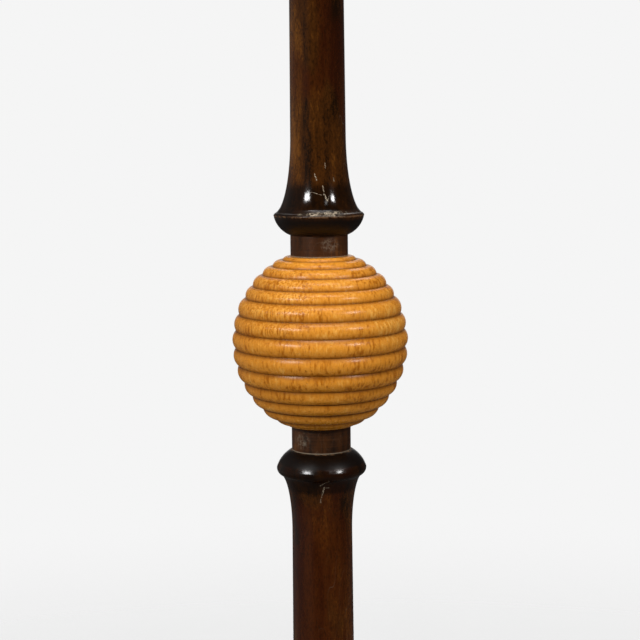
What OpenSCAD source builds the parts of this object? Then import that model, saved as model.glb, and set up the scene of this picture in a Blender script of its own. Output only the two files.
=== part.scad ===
// Candlestick floor lamp. A dark turned column stands on a weighted turned foot and is broken
// halfway by a pale ribbed ball held between two short necks. Each shaft ends in a bell with a
// rolled lip. A steel tube clamps the whole stack from the foot to the candle cup and carries
// the bulb socket, the harp and the shade. +Z is up and the origin is the centre of the foot.

/* [Foot] */
// Width of the plinth across its rolled edge
plinth_d = 320; // [300:2:380]
// Height of the plinth
plinth_h = 44; // [43:1:56]
// Height of the plinth's rolled edge
plinth_edge_h = 22; // [20:1:26]
// Width of the pedestal across its bottom bead
pedestal_d = 176; // [150:2:200]
// Height of the pedestal
pedestal_h = 62; // [54:1:80]
// Thickness of the felt ring under the plinth
felt_t = 2.5; // [2:0.5:4]
// Diameter of the iron weight let into the plinth
weight_d = 236; // [190:2:240]
// Thickness of the iron weight
weight_t = 14; // [10:0.5:16]
// Thickness of the board that closes the underside
cover_t = 3; // [2:0.5:4]

/* [Lower column] */
// Length of the lower shaft between its end faces
lower_shaft_l = 557.5; // [400:0.5:700]
// Diameter of the lower shaft above its bottom bell
lower_shaft_foot_d = 47; // [43:0.5:50]
// Diameter of the lower shaft below its top bell
lower_shaft_top_d = 42; // [40:0.5:46]
// Diameter of the rolled lips of the lower shaft
lower_lip_d = 62.4; // [58:0.2:70]
// Length of the flare behind each lip of the lower shaft
lower_flare_l = 40; // [30:1:60]

/* [Upper column] */
// Length of the upper shaft between its end faces
upper_shaft_l = 440; // [300:5:560]
// Diameter of the upper shaft above its bottom bell
upper_shaft_foot_d = 38; // [34:0.5:42]
// Diameter of the upper shaft below its top bell
upper_shaft_top_d = 34.5; // [32:0.5:40]
// Diameter of the rolled lips of the upper shaft
upper_lip_d = 62.2; // [56:0.2:70]
// Length of the flare behind each lip of the upper shaft
upper_flare_l = 53; // [36:1:70]

/* [Necks] */
// Diameter of the neck between the pedestal and the lower shaft
foot_neck_d = 44; // [38:0.5:48]
// Diameter of the neck under the ball
lower_neck_d = 41; // [36:0.5:46]
// Diameter of the neck over the ball
upper_neck_d = 39.5; // [36:0.5:44]
// Diameter of the neck under the candle pan
top_neck_d = 37; // [34:0.5:42]
// Height that shows of the necks at the foot and under the pan
end_neck_h = 14; // [8:0.5:24]
// Height that shows of the neck under the ball
lower_neck_h = 17.5; // [8:0.5:24]
// Height that shows of the neck over the ball
upper_neck_h = 14.7; // [8:0.1:24]
// Diameter of the tenons on the necks
tenon_d = 26; // [20:0.5:28]
// Length of the tenons in the shafts, the ball and the pedestal
tenon_l = 20; // [12:1:26]
// Length of the tenon in the candle pan
pan_tenon_l = 9; // [6:0.5:10]

/* [Ball] */
// Diameter of the ball over its beads
ball_d = 121; // [100:1:150]
// Height of the ball between the two necks
ball_h = 117.3; // [96:0.1:140]
// Depth of the grooves at the ball's widest beads
bead_depth = 2.4; // [1.5:0.1:3.5]

/* [Candle top] */
// Diameter of the candle pan
pan_d = 112; // [90:1:150]
// Height of the candle pan
pan_h = 20; // [18:0.5:28]
// Depth of the dish in the candle pan
pan_dish = 3.5; // [2:0.5:4]
// Diameter of the candle cup
cup_d = 46; // [42:0.5:56]
// Height of the candle cup
cup_h = 36; // [30:1:50]
// Thickness of the brass ring on the candle cup
ring_t = 3; // [2:0.5:5]

/* [Tube and wiring] */
// Outer diameter of the steel tube that clamps the column
tube_d = 10; // [9.6:0.1:11]
// Wall of the steel tube
tube_wall = 1.4; // [1:0.1:1.8]
// Diameter of the two-core lead in the tube
lead_d = 5; // [4:0.1:6]
// Bore of the bush where the supply cord enters the plinth
inlet_bore_d = 7.5; // [6:0.1:8.5]
// Length of that bush in the plinth's rim
inlet_l = 24; // [16:1:28]

/* [Socket and bulb] */
// Diameter of the socket's brass shell
socket_d = 33; // [31.6:0.1:36]
// Height of the socket from the saddle to its mouth
socket_h = 62; // [56:0.5:72]
// Diameter of the bulb's screw cap
bulb_cap_d = 25.9; // [25:0.1:26.2]
// Diameter of the glass bulb
bulb_d = 60; // [50:1:61]
// Length of the bulb from its contact to its crown
bulb_l = 108; // [100:1:120]

/* [Harp] */
// Width of the harp over its wire
harp_w = 118; // [106:1:130]
// Height of the harp from the saddle's pegs to its top
harp_h = 215; // [195:1:260]
// Diameter of the harp's wire
harp_wire_d = 3.2; // [2.6:0.1:4]
// Distance between the saddle's two pegs
saddle_w = 70; // [66:0.5:76]
// Length of the sleeves that lock the harp to the saddle
sleeve_l = 22; // [18:1:26]
// Distance that a sleeve slides up to free the harp
sleeve_travel = 14; // [12:1:20]

/* [Shade] */
// Diameter of the shade at its bottom
shade_bottom_d = 400; // [340:5:500]
// Diameter of the shade at its top
shade_top_d = 256; // [180:2:320]
// Height of the shade
shade_h = 250; // [200:5:320]
// Thickness of the shade's laminated fabric
shade_t = 1.2; // [0.8:0.1:2]
// Depth of the shade's hub below its top edge
shade_drop = 14; // [8:1:30]
// Height of the finial
finial_h = 34; // [28:1:50]

/* [Hidden] */

// Smoothness of round parts, of small round parts, and segments in a drawn curve
$fn = 96;
small_fn = 32;
curve_n = 16;
bead_n = 8;

// Colours of the finishes
dark_wood = "#3b2114";
pale_wood = "#c8813a";
brass = "#b08d4a";
steel = "#8d8d8a";
iron = "#3a3a3c";
linen = "#e9e0cc";

// Clearances: glued joints, parts that drop in, parts that slide, holes round the tube, and
// screwed joints, whose threads are left out
glue_gap = 0.1;
drop_gap = 0.5;
slide_gap = 0.1;
tube_gap = 0.25;
thread_gap = 0.1;
cut = 1;  // how far a cut runs past the face that it opens

// Foot: the rolled edge, the quirk over it and the well for the nut
plinth_r = plinth_d / 2;
edge_sweep = 98;
edge_in = plinth_edge_h / 2 * tan(edge_sweep / 4);
plinth_foot_r = plinth_r - edge_in;
quirk_w = 6;
quirk_h = 2.5;
pedestal_r = pedestal_d / 2;
pedestal_seat_r = pedestal_r + 6;
pedestal_bead_h = 14;
spigot_r = 30;
spigot_l = 6;
head_gap = 3;
weight_r = weight_d / 2;
recess_r = weight_r + drop_gap;
recess_h = cover_t + head_gap + weight_t;
cover_r = weight_r + 8;
cover_screw_r = (cover_r + recess_r) / 2;
cover_screw_n = 4;
well_r = 42;
well_roof = 6.5;
well_h = plinth_h - spigot_l - well_roof;
weight_bore_r = well_r + 2;
weight_slot_w = 16;
weight_screw_n = 3;
weight_screw_r = (weight_r + weight_bore_r) / 2;
felt_r = plinth_foot_r - 3;
felt_bore_r = cover_r + 1.5;
screw_head_r = 3.6;
screw_head_t = 2;
screw_shank_r = 1.6;
cover_screw_l = 12;
weight_screw_l = weight_t + 8;

// Cord inlet through the rim, on the back of the lamp
inlet_z = plinth_edge_h / 2 - 0.8;
inlet_r = 5.5;
inlet_flange_r = 8;
inlet_flange_t = 3;
inlet_depth = 5;  // how far in the flange is let into the rolled edge
inlet_seat_y = plinth_r - inlet_depth;

// Tube, nuts and wiring
tube_r = tube_d / 2;
tube_bore_r = tube_r + tube_gap;
washer_r = 15;
washer_t = 2;
nut_r = 9.8;  // across the corners of the hexagon
nut_t = 5;
top_nut_t = 4;
tube_below_nut = 2.5;
block_w = 18;
block_l = 22;
block_h = 12;
block_y = 16;
block_pitch = 9;
block_bore_r = 1.6;
block_screw_r = 2;
lead_r = lead_d / 2;
lead_bend_r = 10;
core_r = 1.1;
core_off = 1.2;
ferrule_r = 1.4;
jacket_out = 1.5;  // how far the lead's jacket stands out of the tube
eyelet_t = 0.8;

// Column: what the bells share
tenon_r = tenon_d / 2;
mortise_r = tenon_r + glue_gap;
mortise_gap = 0.5;
face_step = 0.5;  // how far a bell's end face stands out past its neck
lower_under_h = 12.2;
lower_under_sweep = 43;
lower_edge_in = 2;
lower_edge_h = 4.5;
lower_edge_roll = 58;
lower_flare_w = 8.6;
upper_under_h = 13.5;
upper_under_sweep = 56;
upper_edge_in = 1.8;
upper_edge_h = 1.8;
upper_edge_roll = 50;
upper_flare_w = 12.3;

// Ball: the beads as they were turned, from the top one down, in degrees round the ball's curve
bead_angles = [5.8, 7.9, 8.6, 9.6, 8.8, 11.3, 10.4, 11.1, 11.2, 11.2, 9.9, 10.3, 11.1, 7.4, 4.6];
bead_count = len(bead_angles);
widest_bead = max(bead_angles);
core_depth = 0.6;
ball_groove_r = (ball_d / 2 - bead_depth) / cos(widest_bead / 2);
ball_top_r = upper_neck_d / 2 + 0.25;
ball_foot_r = lower_neck_d / 2 + 0.2;
ball_top_angle = acos(ball_top_r / ball_groove_r);
ball_foot_angle = acos(ball_foot_r / ball_groove_r);
ball_groove_h = ball_h / (sin(ball_top_angle) + sin(ball_foot_angle));
ball_centre_h = ball_groove_h * sin(ball_foot_angle);

// Candle top
pan_r = pan_d / 2;
pan_rim = 5;
pan_floor = pan_h - pan_dish;
cup_r = cup_d / 2;
cup_foot_r = cup_r + 1;
cup_waist_r = cup_r * 0.66;
cup_bead_h = 5;
cup_lip_h = 4;
ring_r = 19;

// Heights of the stack, from the floor up
plinth_z = felt_t;
pedestal_z = plinth_z + plinth_h;
foot_neck_z = pedestal_z + pedestal_h;
lower_shaft_z = foot_neck_z + end_neck_h;
lower_neck_z = lower_shaft_z + lower_shaft_l;
ball_z = lower_neck_z + lower_neck_h;
upper_neck_z = ball_z + ball_h;
upper_shaft_z = upper_neck_z + upper_neck_h;
top_neck_z = upper_shaft_z + upper_shaft_l;
pan_z = top_neck_z + end_neck_h;
cup_z = pan_z + pan_floor;
ring_z = cup_z + cup_h;
top_nut_z = ring_z + ring_t;
saddle_z = top_nut_z + top_nut_t;
saddle_t = 1.6;
socket_z = saddle_z + saddle_t;
washer_z = plinth_z + well_h - washer_t;
bottom_nut_z = washer_z - nut_t;
tube_z = bottom_nut_z - tube_below_nut;

// Socket: heights are above its bottom
socket_r = socket_d / 2;
socket_wall = 0.7;
cap_wall = 0.8;
cap_hub_r = 8;
cap_hub_h = 9;
cap_rim_r = socket_r + 0.05 + cap_wall;
cap_dome_h = 18;
cap_ledge = 1;
cap_h = 26;
tube_top_z = socket_z + cap_hub_h + 2;
shell_bead_r = 1;
liner_t = 0.6;
liner_r = socket_r - socket_wall - 0.1;
core_body_r = liner_r - liner_t - 0.3;
core_flange_r = socket_r - slide_gap;
core_z = 20;  // the top of the core's flange, which the shell and its liner stand on
core_top_z = 36;
terminal_x = 11;
terminal_r = 2.4;
terminal_t = 1.8;
set_screw_z = 4;
key_z = 30;
key_bore_r = 2.5;
key_r = key_bore_r - slide_gap;
key_in = 10;
key_hole_r = 3.1;
key_paddle_r = 8;
key_paddle_t = 3.2;
key_out = 14;  // from the shell to the paddle's centre
screw_shell_t = 0.4;
bulb_cap_r = bulb_cap_d / 2;
screw_shell_r = bulb_cap_r + 0.25 + screw_shell_t;
contact_t = 0.6;

// Bulb: its contact rests on the socket's centre contact
bulb_z = socket_z + core_top_z + contact_t;
bulb_tip_h = 2.2;
bulb_cap_h = 23;
bulb_wall = 1;
bulb_neck_r = bulb_cap_r + 0.5;
bulb_r = bulb_d / 2;
bulb_join = 35;  // degrees below the bulb's widest point where the round part ends

// Harp and its saddle
wire_r = harp_wire_d / 2;
peg_x = saddle_w / 2;
peg_h = 12;
peg_top_z = saddle_z + peg_h;
saddle_y = 12;
saddle_pad_r = 6;
sleeve_bore_r = wire_r + slide_gap;
sleeve_r = sleeve_bore_r + 1.4;
harp_side_x = harp_w / 2 - wire_r;
harp_leg = sleeve_l - peg_h + sleeve_travel + 2;
bend_low_r = 14;
bend_high_r = 26;
bend_angle = 45;
bend_shift = harp_side_x - peg_x - (bend_low_r + bend_high_r) * (1 - cos(bend_angle));
bend_slant = bend_shift / sin(bend_angle);
bend_rise = (bend_low_r + bend_high_r) * sin(bend_angle) + bend_slant * cos(bend_angle);
harp_arc_z = harp_h - harp_side_x;
harp_side_l = harp_arc_z - harp_leg - bend_rise;
harp_hub_r = 8;
harp_hub_t = 5;
hub_top_z = peg_top_z + harp_h + harp_hub_t / 2;
stud_r = 3.1;
stud_l = 14;

// Shade
shade_bottom_r = shade_bottom_d / 2;
shade_top_r = shade_top_d / 2;
ring_wire_r = 1.4;
arm_r = 1.3;
hub_r = 14;
hub_t = 1.8;
hub_bore_r = stud_r + slide_gap;
shade_top_z = hub_top_z + shade_drop;
shade_z = shade_top_z - shade_h;
ring_inset = 2.4;  // how far the ring's centre lies inside each edge of the shade
shade_slope = (shade_bottom_r - shade_top_r) / shade_h;
ring_side_gap = (shade_t + 0.1 + ring_wire_r) * sqrt(1 + pow(shade_slope, 2));

// Finial
finial_foot_r = 8;
finial_z = hub_top_z + hub_t;
finial_bore_r = stud_r + slide_gap;
finial_bore_l = stud_l - hub_t + 0.5;

// ---------------------------------------------------------------- drawing helpers

// Points from p to q along an arc that turns left by sweep degrees, or right where it is negative
function arc(p, q, sweep, n = curve_n) =
    let (
        chord = q - p,
        side = [-chord[1], chord[0]] / 2 / tan(sweep / 2),
        centre = (p + q) / 2 + side,
        r = norm(p - centre),
        a = atan2(p[1] - centre[1], p[0] - centre[0])
    )
    [for (i = [0:n]) centre + r * [cos(a + sweep * i / n), sin(a + sweep * i / n)]];

// Points down a quarter of an ellipse w wide and l long, from radius start in to radius r
function flare(start, r, w, l, z) =
    let (a0 = asin(1 - (start - r) / w))
    [for (i = [0:curve_n]) let (a = a0 + (90 - a0) * i / curve_n)
        [r + w * (1 - sin(a)), z + l * (cos(a0) - cos(a))]];

// The bell at the end of a shaft: rounded underside, rolled lip, then the flare to the shaft
function bell(neck_r, lip_r, under_h, under_sweep, edge_in, edge_h, edge_roll,
              shaft_r, flare_w, flare_l) =
    let (
        corner = [lip_r - edge_in, under_h + edge_h],
        w = max(flare_w, corner[0] - shaft_r)
    )
    concat(
        arc([neck_r + face_step, 0], [lip_r, under_h], under_sweep),
        arc([lip_r, under_h], corner, edge_roll, bead_n),
        flare(corner[0], shaft_r, w, flare_l, corner[1])
    );

// The same outline upside down, for the other end of a piece l long
function upended(points, l) = [for (i = [len(points) - 1:-1:0]) [points[i][0], l - points[i][1]]];

// A turned piece from its outline, which runs up the outside from the bottom face to the top one
module turned(outline) {
    rotate_extrude()
        polygon(concat([[0, outline[0][1]]], outline, [[0, outline[len(outline) - 1][1]]]));
}

// A straight hole from z up to z + l, cut past the faces at its open ends
module hole(r, z, l) {
    translate([0, 0, z]) cylinder(r = r, h = l);
}

// The tube's hole through a piece l long
module tube_hole(l) {
    hole(tube_bore_r, -cut, l + 2 * cut);
}

// Mortises for the tenons at the bottom and the top of a piece l long
module mortises(l, bottom = tenon_l, top = tenon_l) {
    if (bottom > 0)
        hole(mortise_r, -cut, bottom + mortise_gap + cut);
    if (top > 0)
        hole(mortise_r, l - top - mortise_gap, top + mortise_gap + cut);
}

// A wood screw that points up, with its head at z = 0
module wood_screw(l) {
    cylinder(r = screw_head_r, h = screw_head_t, $fn = small_fn);
    cylinder(r = screw_shank_r, h = screw_head_t + l, $fn = small_fn);
}

// Copies of what follows, spaced evenly on a circle
module around(n, r, start = 0) {
    for (i = [0:n - 1])
        rotate([0, 0, start + 360 * i / n]) translate([r, 0, 0]) children();
}

// ---------------------------------------------------------------- foot

module felt_ring() {
    color("#4c5a3c")
    difference() {
        cylinder(r = felt_r, h = felt_t);
        hole(felt_bore_r, -cut, felt_t + 2 * cut);
    }
}

module underside_cover() {
    color("#7a5b3a")
    translate([0, 0, plinth_z])
    difference() {
        cylinder(r = cover_r - drop_gap / 2, h = cover_t);
        around(cover_screw_n, cover_screw_r, 45)
            hole(screw_shank_r + 0.2, -cut, cover_t + 2 * cut);
    }
}

module cover_screws() {
    color(brass)
    translate([0, 0, plinth_z - screw_head_t])
        around(cover_screw_n, cover_screw_r, 45) wood_screw(cover_screw_l);
}

module base_weight() {
    color(iron)
    translate([0, 0, plinth_z + cover_t + head_gap])
    difference() {
        cylinder(r = weight_r, h = weight_t);
        hole(weight_bore_r, -cut, weight_t + 2 * cut);
        translate([-weight_slot_w / 2, 0, -cut])
            cube([weight_slot_w, weight_r + cut, weight_t + 2 * cut]);
        around(weight_screw_n, weight_screw_r, 30)
            hole(screw_shank_r + 0.4, -cut, weight_t + 2 * cut);
    }
}

module weight_screws() {
    color(steel)
    translate([0, 0, plinth_z + cover_t + head_gap - screw_head_t])
        around(weight_screw_n, weight_screw_r, 30) wood_screw(weight_screw_l);
}

// The plinth's outline: rolled edge, quirk, then a long cove up to the pedestal's seat
function plinth_outline() = concat(
    arc([plinth_foot_r, 0], [plinth_foot_r, plinth_edge_h], edge_sweep),
    [[plinth_foot_r - quirk_w, plinth_edge_h]],
    arc([plinth_foot_r - quirk_w, plinth_edge_h + quirk_h], [pedestal_seat_r, plinth_h], -44)
);

module plinth() {
    color(dark_wood)
    translate([0, 0, plinth_z])
    difference() {
        turned(plinth_outline());
        turned([[cover_r, -cut], [cover_r, cover_t], [recess_r, cover_t], [recess_r, recess_h],
                [well_r, recess_h], [well_r, well_h]]);
        turned([[tube_bore_r, well_h - cut], [tube_bore_r, plinth_h - spigot_l - glue_gap],
                [spigot_r + glue_gap, plinth_h - spigot_l - glue_gap],
                [spigot_r + glue_gap, plinth_h + cut]]);
        around(cover_screw_n, cover_screw_r, 45)
            hole(screw_shank_r, cover_t - cut, cover_screw_l + cut - cover_t);
        around(weight_screw_n, weight_screw_r, 30)
            hole(screw_shank_r, recess_h - cut, weight_screw_l - weight_t + cut);
        translate([0, 0, inlet_z]) rotate([-90, 0, 0]) {
            hole(inlet_r + glue_gap, recess_r - 2 * cut, inlet_seat_y + 3 * cut - recess_r);
            hole(inlet_flange_r + glue_gap, inlet_seat_y, inlet_flange_r);
        }
    }
}

module cable_bush() {
    color("#1c1a18")
    translate([0, inlet_seat_y - inlet_l, plinth_z + inlet_z]) rotate([-90, 0, 0])
    difference() {
        union() {
            cylinder(r = inlet_r, h = inlet_l + inlet_flange_t);
            translate([0, 0, inlet_l]) cylinder(r = inlet_flange_r, h = inlet_flange_t);
        }
        hole(inlet_bore_d / 2, -cut, inlet_l + inlet_flange_t + 2 * cut);
    }
}

// The pedestal's outline: bead, cushion, quirk, cove and a small astragal under the neck
function pedestal_outline() =
    let (
        bead_in = pedestal_bead_h / 2 * tan(edge_sweep / 4),
        foot_r = pedestal_r - bead_in,
        cushion_r = pedestal_r * 0.48,
        cushion_h = pedestal_h * 0.68,
        neck_r = foot_neck_d / 2 + 4,
        cove_h = pedestal_h - 6
    )
    concat(
        arc([foot_r, 0], [foot_r, pedestal_bead_h], edge_sweep),
        [[foot_r - 5, pedestal_bead_h]],
        arc([foot_r - 5, pedestal_bead_h + 2], [cushion_r, cushion_h], 50),
        arc([cushion_r - 3, cushion_h], [neck_r, cove_h], -60),
        arc([neck_r, cove_h], [neck_r, pedestal_h], 120, bead_n)
    );

module pedestal() {
    color(dark_wood)
    translate([0, 0, pedestal_z])
    difference() {
        union() {
            turned(pedestal_outline());
            hole(spigot_r, -spigot_l, spigot_l + cut);
        }
        hole(tube_bore_r, -spigot_l - cut, pedestal_h + spigot_l + 2 * cut);
        mortises(pedestal_h, bottom = 0);
    }
}

// ---------------------------------------------------------------- column

// A short neck h tall with a tenon at each end
module neck(d, h, below = tenon_l, above = tenon_l) {
    color(dark_wood)
    difference() {
        union() {
            cylinder(r = d / 2, h = h);
            hole(tenon_r, -below, below + h + above);
        }
        hole(tube_bore_r, -below - cut, below + h + above + 2 * cut);
    }
}

module shaft(l, foot, top, top_mortise = tenon_l) {
    color(dark_wood)
    difference() {
        turned(concat(foot, upended(top, l)));
        tube_hole(l);
        mortises(l, top = top_mortise);
    }
}

function lower_bell(neck_d, shaft_d) =
    bell(neck_d / 2, lower_lip_d / 2, lower_under_h, lower_under_sweep,
         lower_edge_in, lower_edge_h, lower_edge_roll,
         shaft_d / 2, lower_flare_w, lower_flare_l);

function upper_bell(neck_d, shaft_d) =
    bell(neck_d / 2, upper_lip_d / 2, upper_under_h, upper_under_sweep,
         upper_edge_in, upper_edge_h, upper_edge_roll,
         shaft_d / 2, upper_flare_w, upper_flare_l);

module foot_neck() {
    translate([0, 0, foot_neck_z]) neck(foot_neck_d, end_neck_h);
}

module lower_shaft() {
    translate([0, 0, lower_shaft_z])
        shaft(lower_shaft_l, lower_bell(foot_neck_d, lower_shaft_foot_d),
              lower_bell(lower_neck_d, lower_shaft_top_d));
}

module lower_neck() {
    translate([0, 0, lower_neck_z]) neck(lower_neck_d, lower_neck_h);
}

// The sum of the first n numbers in a list
function total(list, n) = n == 0 ? 0 : list[n - 1] + total(list, n - 1);

// The point in the groove over bead i, or as far under it as depth
function groove(i, depth = 0) =
    let (
        share = total(bead_angles, i) / total(bead_angles, bead_count),
        a = ball_top_angle - (ball_top_angle + ball_foot_angle) * share
    )
    [(ball_groove_r - depth) * cos(a), (ball_groove_h - depth) * sin(a)];

// One bead's round, through its two grooves and bulging by a fixed share of its width
module bead(i) {
    upper = groove(i);
    lower = groove(i + 1);
    chord = upper - lower;
    rise = bead_depth / (2 * ball_groove_r * sin(widest_bead / 2)) * norm(chord);
    r = (pow(norm(chord) / 2, 2) + pow(rise, 2)) / 2 / rise;
    outwards = [chord[1], -chord[0]] / norm(chord);
    translate((upper + lower) / 2 + outwards * (rise - r)) circle(r = r);
}

// Turns a profile and trims it to the ball's height
module ball_turning() {
    rotate_extrude()
    intersection() {
        children();
        translate([0, -ball_centre_h]) square([ball_d, ball_h]);
    }
}

module ribbed_ball() {
    color(pale_wood)
    translate([0, 0, ball_z + ball_centre_h])
    difference() {
        union() {
            ball_turning() polygon(concat(
                [[0, ball_h], [ball_top_r - core_depth, ball_h]],
                [for (i = [1:bead_count - 1]) groove(i, core_depth)],
                [[ball_foot_r - core_depth, -ball_h], [0, -ball_h]]));
            for (i = [0:bead_count - 1]) ball_turning() bead(i);
        }
        translate([0, 0, -ball_centre_h]) {
            tube_hole(ball_h);
            mortises(ball_h);
        }
    }
}

module upper_neck() {
    translate([0, 0, upper_neck_z]) neck(upper_neck_d, upper_neck_h);
}

module upper_shaft() {
    translate([0, 0, upper_shaft_z])
        shaft(upper_shaft_l, upper_bell(upper_neck_d, upper_shaft_foot_d),
              upper_bell(top_neck_d, upper_shaft_top_d));
}

module top_neck() {
    translate([0, 0, top_neck_z]) neck(top_neck_d, end_neck_h, above = pan_tenon_l);
}

// ---------------------------------------------------------------- candle top

// The pan's outline: a cove from the neck out to a rolled rim, then a shallow dish
function pan_outline() =
    let (neck_r = top_neck_d / 2 + face_step, rim_z = pan_h - pan_rim)
    concat(
        arc([neck_r, 0], [neck_r + 6, 4], 60, bead_n),
        arc([neck_r + 5, 5], [pan_r - 3, rim_z], -38),
        arc([pan_r - 2, rim_z], [pan_r - 2, pan_h], 106, bead_n),
        arc([pan_r - 5, pan_h], [pan_r - 12, pan_floor], 40, bead_n)
    );

module candle_pan() {
    color(dark_wood)
    translate([0, 0, pan_z])
    difference() {
        turned(pan_outline());
        tube_hole(pan_h);
        mortises(pan_h, bottom = pan_tenon_l, top = 0);
    }
}

// The cup's outline: foot bead, waist, egg-shaped body and a lip
function cup_outline() = concat(
    arc([cup_foot_r - 1, 0], [cup_foot_r - 1, cup_bead_h], 100, bead_n),
    arc([cup_foot_r - 4, cup_bead_h + 1], [cup_waist_r, cup_h * 0.36], -70, bead_n),
    arc([cup_waist_r, cup_h * 0.36], [cup_r - 1, cup_h - cup_lip_h], 62),
    arc([cup_r - 1, cup_h - cup_lip_h], [cup_r - 1, cup_h], 110, bead_n)
);

module candle_cup() {
    color(dark_wood)
    translate([0, 0, cup_z])
    difference() {
        turned(cup_outline());
        tube_hole(cup_h);
    }
}

module check_ring() {
    color(brass)
    translate([0, 0, ring_z])
    difference() {
        turned(arc([ring_r - 1, 0], [ring_r - 1, ring_t], 100, bead_n));
        tube_hole(ring_t);
    }
}

// ---------------------------------------------------------------- tube and wiring

module hex_nut(t) {
    difference() {
        cylinder(r = nut_r, h = t, $fn = 6);
        hole(tube_r + thread_gap, -cut, t + 2 * cut);
    }
}

module bottom_nut() {
    color(steel) translate([0, 0, bottom_nut_z]) hex_nut(nut_t);
}

module bottom_washer() {
    color(steel)
    translate([0, 0, washer_z])
    difference() {
        cylinder(r = washer_r, h = washer_t);
        tube_hole(washer_t);
    }
}

module lamp_tube() {
    color(steel)
    translate([0, 0, tube_z])
    difference() {
        cylinder(r = tube_r, h = tube_top_z - tube_z);
        hole(tube_r - tube_wall, -cut, tube_top_z - tube_z + 2 * cut);
    }
}

module top_nut() {
    color(brass) translate([0, 0, top_nut_z]) hex_nut(top_nut_t);
}

module connector_block() {
    color("#d8d2c0")
    translate([0, block_y, plinth_z + cover_t])
    difference() {
        union() {
            translate([-block_w / 2, 0, 0]) cube([block_w, block_l, block_h - 3]);
            for (x = [-1, 1], y = [0.25, 0.75])
                translate([x * block_pitch / 2, y * block_l, 0])
                    cylinder(r = block_screw_r + 1.4, h = block_h, $fn = small_fn);
        }
        for (x = [-1, 1]) {
            translate([x * block_pitch / 2, -cut, block_h / 2]) rotate([-90, 0, 0])
                cylinder(r = block_bore_r, h = block_l + 2 * cut, $fn = small_fn);
            for (y = [0.25, 0.75])
                translate([x * block_pitch / 2, y * block_l, block_h / 2])
                    cylinder(r = block_screw_r, h = block_h, $fn = small_fn);
        }
    }
}

module connector_screws() {
    color(brass)
    translate([0, block_y, plinth_z + cover_t])
        for (x = [-1, 1], y = [0.25, 0.75])
            translate([x * block_pitch / 2, y * block_l, block_h - 4])
                cylinder(r = block_screw_r - 0.1, h = 3, $fn = small_fn);
}

// A straight round length from p to q
module rod(p, q, r) {
    d = q - p;
    translate(p)
        rotate([0, acos(d[2] / norm(d)), atan2(d[1], d[0])])
            cylinder(r = r, h = norm(d), $fn = small_fn);
}

// The lead comes up the tube, and below it bends back to the connector block on the cover
module inner_lead() {
    lead_z = plinth_z + cover_t + block_h / 2;
    bend_z = lead_z + lead_bend_r;
    jacket_y = block_y - 5;
    jacket_z = tube_top_z + jacket_out;
    eyelet_z = socket_z + cap_dome_h - terminal_t - eyelet_t;
    color("#b8a06a")
    union() {
        hole(lead_r, bend_z, jacket_z - bend_z);
        translate([0, lead_bend_r, bend_z]) rotate([90, 0, 90]) rotate([0, 0, 180])
            rotate_extrude(angle = 90) translate([lead_bend_r, 0]) circle(r = lead_r, $fn = small_fn);
        translate([0, lead_bend_r, lead_z]) rotate([-90, 0, 0])
            cylinder(r = lead_r, h = jacket_y - lead_bend_r, $fn = small_fn);
        for (x = [-1, 1]) {
            rod([x * core_off, jacket_y - 1, lead_z], [x * block_pitch / 2, block_y, lead_z], core_r);
            translate([x * block_pitch / 2, block_y - 1, lead_z]) rotate([-90, 0, 0])
                cylinder(r = ferrule_r, h = 8, $fn = small_fn);
            rod([x * core_off, 0, jacket_z - 1],
                [x * (terminal_x - 1), 0, eyelet_z + eyelet_t - core_r], core_r);
            translate([x * terminal_x, 0, eyelet_z]) cylinder(r = terminal_r, h = eyelet_t, $fn = small_fn);
        }
    }
}

// ---------------------------------------------------------------- socket

// The cap is a hub and a dome, with a ledge inside its rim that the core sits on
module socket_cap() {
    inner_rim_r = cap_rim_r - cap_wall;
    ledge_r = inner_rim_r - cap_ledge;
    color(brass)
    translate([0, 0, socket_z])
    difference() {
        turned(concat(
            [[cap_hub_r, 0], [cap_hub_r + cap_wall, cap_hub_h - 2]],
            arc([cap_hub_r + 1.8, cap_hub_h], [cap_rim_r, cap_dome_h], 48, bead_n),
            [[cap_rim_r, cap_h]]
        ));
        turned(concat(
            arc([cap_hub_r, cap_hub_h], [ledge_r, cap_dome_h], 48, bead_n),
            [[inner_rim_r, cap_dome_h], [inner_rim_r, cap_h + cut]]
        ));
        hole(tube_r + thread_gap, -cut, cap_hub_h + 2 * cut);
        translate([0, 0, set_screw_z]) rotate([0, 90, 0])
            cylinder(r = 1.5, h = cap_hub_r + cut, $fn = small_fn);
    }
}

module cap_set_screw() {
    color(steel)
    translate([tube_r + 0.05, 0, socket_z + set_screw_z]) rotate([0, 90, 0])
        cylinder(r = 1.45, h = cap_hub_r - tube_r + 0.6, $fn = small_fn);
}

// The hole for the switch key through the front of the shell and its liner
module key_hole(r, depth) {
    translate([0, 0, key_z]) rotate([90, 0, 0]) cylinder(r = r, h = depth, $fn = small_fn);
}

module socket_shell() {
    color(brass)
    translate([0, 0, socket_z])
    difference() {
        turned(concat(
            [[socket_r, core_z], [socket_r, cap_h + 8]],
            arc([socket_r, cap_h + 9], [socket_r, cap_h + 9 + 2 * shell_bead_r], 150, bead_n),
            [[socket_r, socket_h - 3]],
            arc([socket_r, socket_h - 2 * shell_bead_r], [socket_r, socket_h], 150, bead_n)
        ));
        hole(socket_r - socket_wall, core_z - cut, socket_h);
        key_hole(key_hole_r, socket_r + cut);
    }
}

module socket_liner() {
    color("#c9b48a")
    translate([0, 0, socket_z])
    difference() {
        hole(liner_r, core_z, socket_h - core_z - 3);
        hole(liner_r - liner_t, core_z - cut, socket_h);
        key_hole(key_hole_r, socket_r + cut);
    }
}

module socket_core() {
    color("#2a2320")
    translate([0, 0, socket_z])
    difference() {
        union() {
            hole(core_flange_r, cap_dome_h, core_z - cap_dome_h);
            hole(core_body_r, core_z - cut, core_top_z - core_z + cut);
        }
        translate([0, -core_body_r + key_in + 1, 0]) key_hole(key_bore_r, key_in + 1 + cut);
    }
}

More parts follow.
